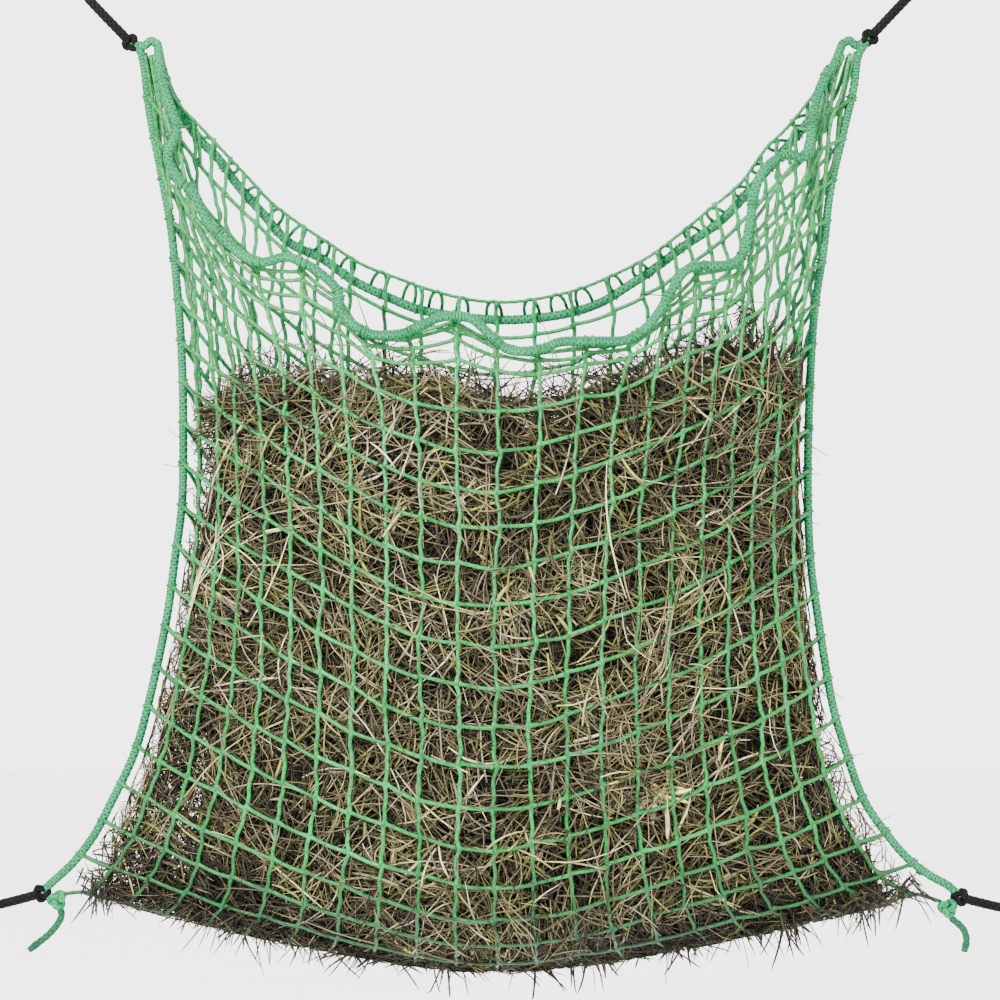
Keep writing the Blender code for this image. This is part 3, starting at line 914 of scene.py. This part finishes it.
def row_bars(shape, rng, left, right, radius, points, sides, spread):
    """The bars of one strip, from each crossing of a column to the next column's."""
    left, right = left[1:ROWS], right[1:ROWS]
    n = len(left)
    tone = rng.uniform(-spread, spread, n)
    t = np.linspace(0, 1, points)[None, :, None]
    step = rng.normal(0.0009, 0.0007, (n, 1, 1)) * np.array((0, 0, 1))
    span = np.linalg.norm(right - left, axis=-1)[:, None, None]
    path = left[:, None] * (1 - t) + right[:, None] * t
    path = path + step * (1 - 2 * t)
    path[..., 2:] -= (0.035 * span * rng.uniform(0.2, 1.4, (n, 1, 1))) * 4 * t * (1 - t)
    path[..., 1:2] += rng.normal(0, 0.0012, (n, 1, 1)) * np.sin(math.pi * t)
    near = (np.minimum(t, 1 - t) * span)[..., 0]
    # each bar's own tone, with painted shade near the fold
    shade = tone[:, None] + fold_shade(path)
    add_tubes(shape, path, knotted(near, radius), sides, twisted(*NET_TWIST), tone=shade)


def wrap(shape, rng, centre, axis, radius, cord):
    """A turn and a bit of net cord round a rope."""
    axis = unit(np.asarray(axis, float))
    t = np.linspace(0, 2 * math.pi * 1.15, 22)
    one = unit(np.cross(axis, (0.3, 0.2, 0.9)))
    two = np.cross(axis, one)
    begin = rng.uniform(0, 6)
    path = centre + radius * (
        np.outer(np.cos(t + begin), one) + np.outer(np.sin(t + begin), two)
    ) + np.outer((t / t[-1] - 0.5) * cord * 1.5, axis)
    add_tubes(shape, path, cord / 2, 6, twisted(3, 0.0115, 0.1), tone=rng.uniform(-0.25, 0.05))


def corner_gather(shape, face, side, knots, radius, rng):
    """Cords of the meshes bunched into a top corner; returns where they reach, rope then mouth."""
    left = side < 0
    loop_x, loop_z = CORNER_LOOPS["left" if left else "right"][-1]
    rope_x, rope_z = (LEFT_ROPE if left else RIGHT_ROPE)[0]
    at_loop = np.array((loop_x, face * 0.010, loop_z - 0.004))
    at_rope = np.array((rope_x, face * 0.003, rope_z + 0.004))
    low_rope = knots[0 if left else -1, FAN_ROW]
    mouth_x, mouth_z = along(MOUTH[face], FAN_MOUTH if left else 1 - FAN_MOUTH)
    low_mouth = np.array((mouth_x, face * 0.03, mouth_z))
    t = np.linspace(0, 1, 60)[:, None]
    for cord in range(FAN_CORDS):
        share = (cord + 0.6) / (FAN_CORDS + 0.4)
        end = low_rope * (1 - share) + low_mouth * share
        across = (low_mouth - low_rope) / FAN_CORDS
        cross = (-1) ** cord * np.sin(3 * math.pi * t) * np.minimum(1, 1.3 * t) * 0.35
        sway = rng.normal(0, 0.003, (1, 3)) * np.sin(math.pi * t)
        start = at_rope * (1 - share) + at_loop * share + rng.normal(0, 0.0015, 3)
        path = start * (1 - t) + end * t + across * cross + sway
        add_tubes(shape, path, radius, 8, twisted(*NET_TWIST), tone=rng.uniform(-0.1, 0.1))
    return low_rope, low_mouth


def make_front_net(net):
    rng = np.random.default_rng(11)
    knots = junctions(FRONT, rng)
    rope = mouth_route(FRONT, MOUTH_FRONT, 400, ROPE_OFF, ROPE_V)
    for column in range(2 * COLUMNS + 1):
        knots[column, ROWS] = along(rope, mouth_share(np.float64(column / COLUMNS - 1)))
    for strip in range(2 * COLUMNS):
        shape = Shape()
        left, right = knots[strip], knots[strip + 1]
        tone = rng.uniform(-0.08, 0.08)
        if strip:
            column_cord(shape, rng, left, NET_CORD / 2, 0.0026, 9, tone)
        row_bars(shape, rng, left, right, NET_CORD / 2, 15, 9, 0.08)
        piece = shape.make(f"net_front_{strip:02d}", net)
        if strip == 0:
            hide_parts("net_front", "net_front_mouth_strip")
        u = (strip + 0.5) / COLUMNS - 1
        hold = net_point(FRONT, u, 0.05 + 0.27 * (1 - abs(u) ** 4))
        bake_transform(piece)
    for name, side in (("left", -1), ("right", 1)):
        shape = Shape()
        at_rope, at_mouth = corner_gather(shape, FRONT, side, knots, NET_CORD / 2, rng)
        piece = shape.make(f"net_front_gather_{name}", net)
        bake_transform(piece)


def make_back_net(net):
    rng = np.random.default_rng(12)
    knots = junctions(BACK, rng)
    for part, side, strips in (("left", -1, range(COLUMNS)), ("right", 1, range(COLUMNS, 2 * COLUMNS))):
        shape = Shape()
        for strip in strips:
            left, right = knots[strip], knots[strip + 1]
            tone = rng.uniform(-0.1, 0.1)
            if strip:
                column_cord(shape, rng, left, BACK_CORD / 2, 0.0034, 8, tone)
            row_bars(shape, rng, left, right, BACK_CORD / 2, 12, 8, 0.1)
        if part == "left":
            corner_gather(shape, BACK, -1, knots, BACK_CORD / 2, rng)
            corner_gather(shape, BACK, 1, knots, BACK_CORD / 2, rng)
        # near the corner the gathered meshes lie twice as close
        for between in GATHERED:
            u = side * between
            v = 1 - np.arange(GATHERED_FROM, ROWS + 1) / ROWS
            points = net_point(BACK, np.full(len(v), u), v) + rng.normal(0, 0.0012, (len(v), 3))
            points[:, 0] += 0.006 * np.sin(math.pi * np.arange(len(v)))
            points[1:-1:2, 0] += 0.007
            column_cord(shape, rng, points, BACK_CORD / 2, 0.0034, 8, rng.uniform(-0.1, 0.1))
        nodes = ["net_back"] if part == "left" else []
        settle(shape.make(f"net_back_{part}", net), "net_cord", "net", *nodes)


def make_fold_cord(net):
    """The cord along the fold, drawn to the stopper knots at its ends."""
    shape = Shape()
    u = np.linspace(-FOLD_U, FOLD_U, 420)
    fold = bag_point(FRONT, u, np.ones_like(u)) * (1, 0, 1)
    for knot, first, rows in (("left", 0, slice(0, 8)), ("right", -1, slice(-1, -9, -1))):
        centre = centre_of(f"stopper_knot_{knot}")
        end = centre + 0.011 * unit(fold[first] - centre)
        fold[rows] += (end - fold[first]) * np.linspace(1, 0, 8)[:, None] ** 1.2
    meshes = np.linspace(-1, 1, 2 * COLUMNS + 1)
    near = np.abs(u[:, None] - meshes[None]).min(1) * 0.48
    # the whole fold cord is darkened by the full painted shade of the fold
    add_tubes(shape, fold, knotted(near, NET_CORD / 2), 9, twisted(*NET_TWIST), tone=-FOLD_SHADE)
    settle(shape.make("fold_cord_twist", net), "net_cord", "net", "fold_cord")


def make_lacing(net):
    """The turns of cord that hold the netting to its ropes."""
    rng = np.random.default_rng(13)
    for side, rope in (("left", SIDE[-1]), ("right", SIDE[1])):
        shape = Shape()
        for row in range(1, ROWS):
            share = 1 - row / ROWS
            x, z = along(rope, share)
            ahead = along(rope, min(1, share + 0.01)) - along(rope, share)
            wrap(shape, rng, np.array((x, 0, z)), (ahead[0], 0, ahead[1]), ROPE / 2 + 0.0006, LACING)
        settle(shape.make(f"side_lacing_{side}", net), "net_cord", "net")

    u = np.arange(1, 2 * COLUMNS) / COLUMNS - 1
    crowded = (mouth_share(u)[:, None] + (0.0, 0.006)).ravel()
    even_shares = np.arange(1, 2 * COLUMNS) / (2 * COLUMNS)
    for name, face, points, shares, body in (
        ("front", FRONT, MOUTH_FRONT, crowded, "front_mouth"), ("back", BACK, BACK_ROPE, even_shares, "net"),
    ):
        shape = Shape()
        rope = mouth_route(face, points, 400, ROPE_OFF, ROPE_V)
        for share in shares:
            place, ahead = along(rope, share), along(rope, min(1, share + 0.004))
            wrap(shape, rng, place, ahead - place, ROPE / 2 + 0.0008, MOUTH_LACING)
        settle(shape.make(f"mouth_lacing_{name}", net), "net_cord", body)


# ---------------------------------------------------------------- hay


def hay_top(x):
    return np.interp(x, *np.array(HAY_TOP).T)


def hay_surface(face, u, v, inside):
    """Points this far inside the netting."""
    point = net_point(face, u, v)
    depth = np.abs(point[..., 1])
    point[..., 1] = face * np.maximum(depth - inside * depth / (depth + 0.02), -0.004)
    return point


def hollow(face, u, v):
    """Where the hay falls back from the net, from 0 to 1, in patches a few meshes across."""
    field = np.sin(17 * u + 2.5 * np.sin(13 * v) + face) * np.sin(23 * v + 2.5 * np.sin(15 * u + face))
    return np.clip(1.6 * field, 0, 1)


def hay_reach(v):
    """How far across the bag the hay reaches at a height: to the left and to the right."""
    left = -np.interp(v, (0, 0.36, 0.60, 0.8, 0.93, 1), (0.74, 0.80, 0.90, 0.92, 0.93, 0.87))
    return left, np.interp(v, (0, 0.33, 0.55, 0.8, 0.93, 1), (0.85, 0.885, 0.94, 0.90, 0.90, 0.86))


def scattered(rng, face, count, bundles):
    """Where strands lie on the sheet, with heading and tone: a share of them in bundles, the rest loose."""
    pool = int(count * SPARE)
    size = BUNDLE
    groups = max(1, int(pool * bundles / size))
    centre_u = np.repeat(rng.uniform(HAY_LEFT, HAY_RIGHT, groups), size)
    centre_v = np.repeat(rng.uniform(0.0, 0.99, groups), size)
    heading = np.repeat(rng.uniform(0, math.pi, groups), size)
    shade = np.repeat(rng.normal(0, 0.10, groups), size)
    loose = pool - len(centre_u)
    u = np.concatenate(
        [centre_u + rng.normal(0, 0.05, len(centre_u)), rng.uniform(HAY_LEFT, HAY_RIGHT, loose)]
    )
    v = np.concatenate([centre_v + rng.normal(0, 0.025, len(centre_v)), rng.uniform(0, 0.99, loose)])
    angle = np.concatenate([heading + rng.normal(0, 0.22, len(centre_u)), rng.uniform(0, math.pi, loose)])
    tone = np.concatenate([shade, rng.normal(0, 0.1, loose)]) + rng.normal(0.5, 0.15, pool)
    here = net_point(face, np.clip(u, -1, 1), np.clip(v, 0, 1))
    ragged = rng.normal(0, 0.011, pool)
    reach = hay_reach(v)
    thin = np.minimum(u - reach[0], reach[1] - u) / HAY_EDGE
    keep = (here[..., 2] < hay_top(here[..., 0]) + ragged) & (v < 0.985) & (
        rng.uniform(0, 1, pool) < np.clip(0.5 + 0.5 * thin, 0, 1) * (1 - HOLLOW * hollow(face, u, v))
    ) & (thin > 0)
    return (values[keep][:count] for values in (u, v, angle, tone))


def strands_on(rng, face, count, inside, long, bundles=0.6, points=6):
    """Paths of strands that lie on the bag's inner face, with a tone for each that holds painted shade near
    the fold and deeper inside.
    """
    u, v, angle, tone = scattered(rng, face, count, bundles)
    n = len(u)

    # half a strand either way, turned from metres into u and v by the sheet's own slope there
    small = 0.004
    here = net_point(face, u, v)
    by_u = (net_point(face, np.clip(u + small, -1, 1), v) - here)[:, [0, 2]] / small
    by_v = (net_point(face, u, np.clip(v + small, 0, 1)) - here)[:, [0, 2]] / small
    det = by_u[:, 0] * by_v[:, 1] - by_u[:, 1] * by_v[:, 0]
    det = np.where(np.abs(det) < 0.03, -0.03, det)
    size = rng.lognormal(math.log(long), 0.45, n)
    t = np.linspace(-0.5, 0.5, points)
    bow = rng.normal(0, 0.09, n) * size
    kink = np.where(rng.uniform(0, 1, n) < 0.25, rng.normal(0, 0.22, n) * size, 0)
    ahead = t[None] * size[:, None]
    across = bow[:, None] * (0.25 - t[None] ** 2) * 4 + kink[:, None] * np.maximum(0, t[None] - 0.1)
    dx = ahead * np.cos(angle)[:, None] - across * np.sin(angle)[:, None]
    dz = ahead * np.sin(angle)[:, None] + across * np.cos(angle)[:, None]
    du = (dx * by_v[:, 1:2] - dz * by_v[:, 0:1]) / det[:, None]
    dv = (dz * by_u[:, 0:1] - dx * by_u[:, 1:2]) / det[:, None]
    vs = v[:, None] + dv
    vs = np.clip(vs - 0.8 * np.maximum(0, vs - 0.985), 0.0, 1.0)
    reach = hay_reach(vs)
    us = u[:, None] + du
    us += 0.85 * (np.maximum(reach[0] - us, 0) - np.maximum(us - reach[1], 0))
    us = np.clip(us, -0.985, 0.985)
    deep = rng.uniform(*inside, n)[:, None] + rng.normal(0, 0.007, (n, 1)) * 2 * t[None]
    patch = 0.5 + 0.5 * np.sin(9 * u + 4 * np.sin(7 * v)) * np.sin(11 * v + 3 * np.sin(8 * u))
    # the last term is painted shade: the strands darken towards the fold
    tone = tone - 0.22 * patch + 0.06 - 0.42 * np.clip((v - 0.885) / 0.085, 0, 1)
    deep = deep + rng.normal(0, 0.003, (n, 1)) * (0.25 - t[None] ** 2) * 4
    # strands that lie deeper inside the net are darker with their depth: painted shade
    return hay_surface(face, us, vs, deep), tone - 11 * np.clip(deep[:, points // 2], 0, 0.05)


def add_strands(shape, rng, paths, tone, thick, flat=1.0, sides=3, slot=0):
    """Stems that taper to their tips, kept inside the bag's depth."""
    n, p, _ = paths.shape
    paths[..., 1] = np.clip(paths[..., 1], *HAY_DEPTHS)
    size = rng.uniform(*thick, n)[:, None]
    taper = np.interp(np.linspace(0, 1, p), (0, 0.15, 0.8, 1), (0.75, 1, 0.85, 0.35))[None]
    add_tubes(shape, paths, size * taper, sides, flat=flat, slot=slot, tone=tone)


def fold_height(x):
    fold = bag_point(FRONT, np.linspace(-1, 1, 80), np.ones(80))
    return np.interp(x, fold[:, 0], fold[:, 2])


def keep_between_ropes(paths):
    """Draws in what would pass the side ropes."""
    for side in (-1, 1):
        rope = np.interp(-paths[..., 2], -SIDE[side][:, 1], np.abs(SIDE[side][:, 0])) - 0.014
        over = np.maximum(0, side * paths[..., 0] - rope)
        paths[..., 0] -= side * over * 0.92
    return paths


def hay_piece(name, shape, materials, *nodes):
    settle(shape.make(name, *materials), "hay", "net", *nodes)


def make_core(core):
    """The heart of the hay, lumpy and a little smaller than the bag, coloured near black as painted shade
    deep inside the hay.
    """
    rng = np.random.default_rng(21)
    across, down = 84, 64
    u = np.linspace(-0.77, 0.79, across)
    shape = Shape()
    rings = []
    v_grid = np.linspace(0, 1, 120)
    for place in u:
        ring = []
        for face in (FRONT, BACK):
            narrow = place * (1 - 0.08 * v_grid**3)
            column = net_point(face, narrow, v_grid)
            over = column[:, 2] - (hay_top(column[:, 0]) - 0.035)
            first = np.interp(0, -over, v_grid)
            v = np.linspace(first, 0.970, down)
            wall = hay_surface(face, place * (1 - 0.08 * v**3), v, np.full(down, 0.034))
            ring.append(wall if face == FRONT else wall[::-1])
        rings.append(np.vstack(ring))
    points = np.array(rings)
    lump = np.zeros(points.shape[:2])
    for _ in range(14):
        k = rng.normal(0, 60, 3)
        lump += np.sin(points @ k + rng.uniform(0, 6))
    outward = np.sign(points[..., 1])
    points[..., 1] += outward * np.clip(lump * 0.0022, -0.009, 0.006)
    n, p, _ = points.shape
    index = np.arange(n * p).reshape(n, p)
    a, b = index[:-1], index[1:]
    quads = np.stack([a, b, np.roll(b, -1, 1), np.roll(a, -1, 1)], -1).reshape(-1, 4)
    flat = points.reshape(-1, 3)
    ends = np.array([points[0].mean(0), points[-1].mean(0)])
    first, last = index[0], index[-1]
    fans = [
        np.stack([first, np.roll(first, -1), np.full(p, n * p)], -1),
        np.stack([np.roll(last, -1), last, np.full(p, n * p + 1)], -1),
    ]
    shape.add(np.vstack([flat, ends]), [quads, *fans], tone=0.4)
    hay_piece("hay_heart_painted_shade", shape, [core], "hay_fill")


def free_strands(rng, starts, directions, sizes, droop, curl=0.12):
    """Stems from these points in these directions, bending a little and drooping."""
    n = len(starts)
    t = np.linspace(0, 1, STEM_POINTS)[None, :, None]
    side = unit(np.cross(directions, rng.normal(0, 1, (n, 3))))
    size = sizes[:, None, None]
    bend = side[:, None] * rng.normal(0, curl, (n, 1, 1)) * size * t**2
    fall = np.array((0, 0, -1)) * droop * size * t**2
    return starts[:, None] + unit(directions)[:, None] * size * t + bend + fall


def make_layers(rng, straw):
    """The hay that lies against the netting, front and back."""
    layers = (
        # name, face, strands, depth inside the net, length, thickness, pieces
        ("front_deep", FRONT, 4200, (0.014, 0.036), 0.075, (0.0008, 0.0016), 1),
        ("front", FRONT, 8400, (-0.001, 0.020), 0.060, (0.00055, 0.00130), 3),
        ("back_deep", BACK, 2800, (0.014, 0.036), 0.080, (0.0009, 0.0016), 1),
        ("back", BACK, 5800, (-0.001, 0.020), 0.066, (0.0006, 0.0013), 2),
    )
    for name, face, count, inside, long, thick, pieces in layers:
        for part in range(pieces):
            shape = Shape()
            points = 5 if "deep" in name else 6
            paths, tone = strands_on(rng, face, count // pieces, inside, long, points=points)
            add_strands(shape, rng, paths, tone, thick)
            hay_piece(f"hay_{name}_{part}", shape, [straw])


def make_long_stems(rng, straw, green):
    """Pale stems that lie over the rest and through the meshes, flat leaves and two clumps of leaf."""
    shape = Shape()
    for face in (FRONT, BACK):
        paths, tone = strands_on(rng, face, 380, (-0.005, 0.004), 0.085, bundles=0.3)
        add_strands(shape, rng, paths, tone + 0.16, (0.0006, 0.0011), sides=4)
    for face in (FRONT, BACK):
        paths, tone = strands_on(rng, face, 800, (-0.001, 0.012), 0.034, bundles=0.2, points=5)
        add_strands(shape, rng, paths, tone, (0.0010, 0.0024), flat=0.2, sides=4, slot=1)
        paths, tone = strands_on(rng, face, 800, (-0.001, 0.010), 0.050, bundles=0.5, points=5)
        add_strands(shape, rng, paths, tone + 0.08, (0.0009, 0.0019), flat=0.3, sides=4)
    for x, z, wide, v in LEAF_CLUMPS:
        n = 12
        y = float(net_point(FRONT, x / HALF_BAG, v)[1]) - 0.005
        starts = np.array((x, y, z)) + rng.normal(0, 0.005, (n, 3)) * (1, 0.5, 1)
        directions = rng.normal(0, 1, (n, 3)) * (1, 0.25, 1)
        paths = free_strands(rng, starts, directions, rng.uniform(0.4, 1, n) * wide, 0.1, 0.3)
        add_strands(shape, rng, paths, rng.uniform(0.8, 1.0, n), (0.0022, 0.0042), flat=0.2, sides=6, slot=1)
    hay_piece("hay_long_stems", shape, [straw, green])


def add_crown(shape, rng):
    """The top of the hay, between the two sheets."""
    n = 2600
    u = rng.uniform(HAY_LEFT + 0.13, HAY_RIGHT - 0.09, n)
    x = bag_point(FRONT, u, np.full(n, 0.12))[:, 0]
    front = -net_point(FRONT, u, np.full(n, 0.1))[:, 1]
    back = net_point(BACK, u, np.full(n, 0.15))[:, 1]
    y = -front + (front + back) * rng.uniform(0.06, 0.94, n)
    z = hay_top(x) - np.abs(rng.normal(0, 0.020, n)) - 0.004
    starts = np.column_stack([x, y, z])
    heading = rng.uniform(0, 2 * math.pi, n)
    directions = np.column_stack([np.cos(heading), 0.6 * np.sin(heading), rng.normal(0, 0.28, n)])
    sizes = rng.lognormal(math.log(0.05), 0.4, n)
    paths = free_strands(rng, starts - directions * sizes[:, None] / 2, directions, sizes, 0.05)
    add_strands(shape, rng, keep_between_ropes(paths), rng.normal(0.42, 0.18, n), (0.0005, 0.0011))


def add_risen_stems(shape, rng):
    """Stems that stand up out of the hay, and more of them in a looser tuft at the right."""
    n = 300
    u = rng.uniform(HAY_LEFT + 0.10, HAY_RIGHT - 0.06, n)
    x = bag_point(FRONT, u, np.full(n, 0.12))[:, 0]
    z = hay_top(x) - 0.012
    starts = np.column_stack([x, rng.uniform(-0.055, 0.05, n), z])
    directions = np.column_stack([rng.normal(0, 1.1, n), rng.normal(0, 0.25, n), rng.uniform(0.0, 0.8, n)])
    sizes = rng.lognormal(math.log(0.048), 0.4, n)
    paths = keep_between_ropes(free_strands(rng, starts, directions, sizes, 0.2, 0.3))
    add_strands(shape, rng, paths, rng.normal(0.28, 0.15, n), (0.0004, 0.0008))
    n = 260
    x = rng.normal(0.300, 0.050, n)
    starts = np.column_stack([x, rng.uniform(-0.05, 0.02, n), hay_top(x) - 0.01])
    directions = np.column_stack([rng.normal(0, 0.5, n), rng.normal(0, 0.15, n), rng.uniform(0.4, 1.0, n)])
    paths = free_strands(rng, starts, directions, rng.uniform(0.03, 0.085, n), 0.1, 0.35)
    add_strands(shape, rng, keep_between_ropes(paths), rng.normal(0.22, 0.12, n), (0.0005, 0.0011))


def add_crossing_stems(shape, rng):
    """Single long stems above the hay, and a seed head."""
    t = np.linspace(0, 1, 12)[:, None]
    for start, end in CROSSING_STEMS:
        ends = np.array([(start[0], -0.035, start[1]), (end[0], -0.02, end[1])])
        path = ends[0] * (1 - t) + ends[1] * t
        path[:, 2] += rng.normal(0, 0.008) * np.sin(math.pi * t[:, 0])
        add_strands(shape, rng, path[None], rng.uniform(0.2, 0.35, 1), (0.0008, 0.0012))
    n = 90
    starts = np.array(SEED_HEAD) + rng.normal(0, 0.006, (n, 3))
    paths = free_strands(rng, starts, rng.normal(0, 1, (n, 3)), rng.uniform(0.006, 0.014, n), 0.1)
    add_strands(shape, rng, paths, rng.normal(0.25, 0.08, n), (0.0007, 0.0014))


def between_sheets(rng, u, v):
    """A random point between the front and the back sheet, for each u and v."""
    front, back = net_point(FRONT, u, v), net_point(BACK, u, v)
    return front + (back - front) * rng.uniform(0.1, 0.9, (len(u), 1))


def make_edges(rng, straw):
    """The hay at the sides and along the fold, where the two sheets come close together."""
    shape = Shape()
    n = 2600
    side = rng.choice((-1, 1), n)
    v = rng.uniform(0.22, 0.985, n) ** 0.9
    reach = np.where(side < 0, -hay_reach(v)[0], hay_reach(v)[1])
    u = side * np.minimum(0.985, reach + rng.normal(-0.025, 0.040, n))
    starts = between_sheets(rng, u, v)
    directions = rng.normal(0, 1, (n, 3)) * (0.5, 0.4, 1.0)
    sizes = rng.lognormal(math.log(0.045), 0.4, n)
    starts = starts - unit(directions) * sizes[:, None] / 2
    paths = keep_between_ropes(free_strands(rng, starts, directions, sizes, 0.05, 0.2))

    u, v = rng.uniform(-0.86, 0.86, n), rng.uniform(0.93, 0.998, n)
    starts = between_sheets(rng, u, v)
    directions = rng.normal(0, 1, (n, 3)) * (1.0, 0.3, 0.35)
    starts = starts - unit(directions) * sizes[:, None] / 2
    low = free_strands(rng, starts, directions, sizes, 0.08, 0.2)
    low[..., 2] = np.maximum(low[..., 2], fold_height(low[..., 0]) - 0.004)
    add_strands(shape, rng, low, rng.normal(0.28, 0.15, n), (0.0006, 0.0013))
    keep = paths[..., 2].max(1) < hay_top(paths[:, 3, 0]) + 0.01
    add_strands(shape, rng, paths[keep], rng.normal(0.38, 0.17, n)[keep], (0.0006, 0.0013))
    hay_piece("hay_edges", shape, [straw])


def make_stray_stems(rng, straw):
    """Tufts of stems that hang below the fold, and stems that stick out at the sides."""
    shape = Shape()
    n, tufts = 760, 110
    tuft = rng.integers(0, tufts, n)
    u = rng.uniform(-0.93, 0.95, tufts)[tuft] + rng.normal(0, 0.010, n)
    fold = bag_point(FRONT, u, np.full(n, 0.99))
    starts = fold + np.column_stack([np.zeros(n), rng.uniform(-0.03, 0.03, n), rng.uniform(-0.002, 0.022, n)])
    heading = rng.normal(0, 0.9, tufts), rng.normal(0, 0.3, tufts), -rng.uniform(0.2, 1, tufts)
    directions = np.column_stack(heading)[tuft] + rng.normal(0, 0.22, (n, 3))
    sizes = np.minimum(0.05, rng.lognormal(math.log(0.024), 0.5, n))
    paths = free_strands(rng, starts, directions, sizes, 0.15, 0.25)
    paths[..., 2] = np.maximum(paths[..., 2], LOWEST_STEM + rng.uniform(0, 0.01, (n, 1)))
    add_strands(shape, rng, paths, rng.normal(0.20, 0.12, n), (0.0007, 0.0017))
    n = 90
    side = rng.choice((-1, 1), n)
    v = rng.uniform(0.4, 0.98, n)
    starts = net_point(FRONT, np.where(side < 0, HAY_LEFT + 0.02, HAY_RIGHT - 0.01), v)
    starts[:, 1] = rng.uniform(-0.02, 0.02, n)
    outward = side * rng.uniform(0.3, 1, n)
    directions = np.column_stack([outward, rng.normal(0, 0.3, n), rng.normal(0, 0.6, n)])
    sizes = rng.lognormal(math.log(0.028), 0.4, n)
    paths = free_strands(rng, starts, directions, sizes, 0.1)
    add_strands(shape, rng, paths, rng.normal(0.35, 0.18, n), (0.0004, 0.0009))
    hay_piece("hay_stray_stems", shape, [straw])


def make_hay(straw, green):
    rng = np.random.default_rng(31)
    make_layers(rng, straw)
    make_long_stems(rng, straw, green)
    crown = Shape()
    add_crown(crown, rng)
    add_risen_stems(crown, rng)
    add_crossing_stems(crown, rng)
    hay_piece("hay_crown", crown, [straw])
    make_edges(rng, straw)
    make_stray_stems(rng, straw)


# ---------------------------------------------------------------- all of it

make_camera()
tie_black, rope_green, rope_whipping = tie_material(), rope_material(), whipping_material()
# the second netting material is the painted-shade copy of the first
net_green, net_painted_shade = net_material(), painted_shade_net_material()
make_ties(tie_black)
make_tails(rope_green, rope_whipping)
rope_looks = rope_green, rope_whipping
make_side_ropes(rope_looks)
make_edge_cord(make_mouth_ropes(rope_looks), net_painted_shade)
make_front_net(net_green)
make_back_net(net_painted_shade)
make_fold_cord(net_painted_shade)
make_lacing(net_painted_shade)
make_core(hay_material("hay_heart_painted_shade", SHADED_CORE_STOPS, SHADED_CORE_STOPS))
hay_straw = hay_material("hay_straw", STRAW_STOPS, FADED_STOPS)
make_hay(hay_straw, hay_material("hay_leaf", GREEN_STOPS, STRAW_STOPS))
make_studio()
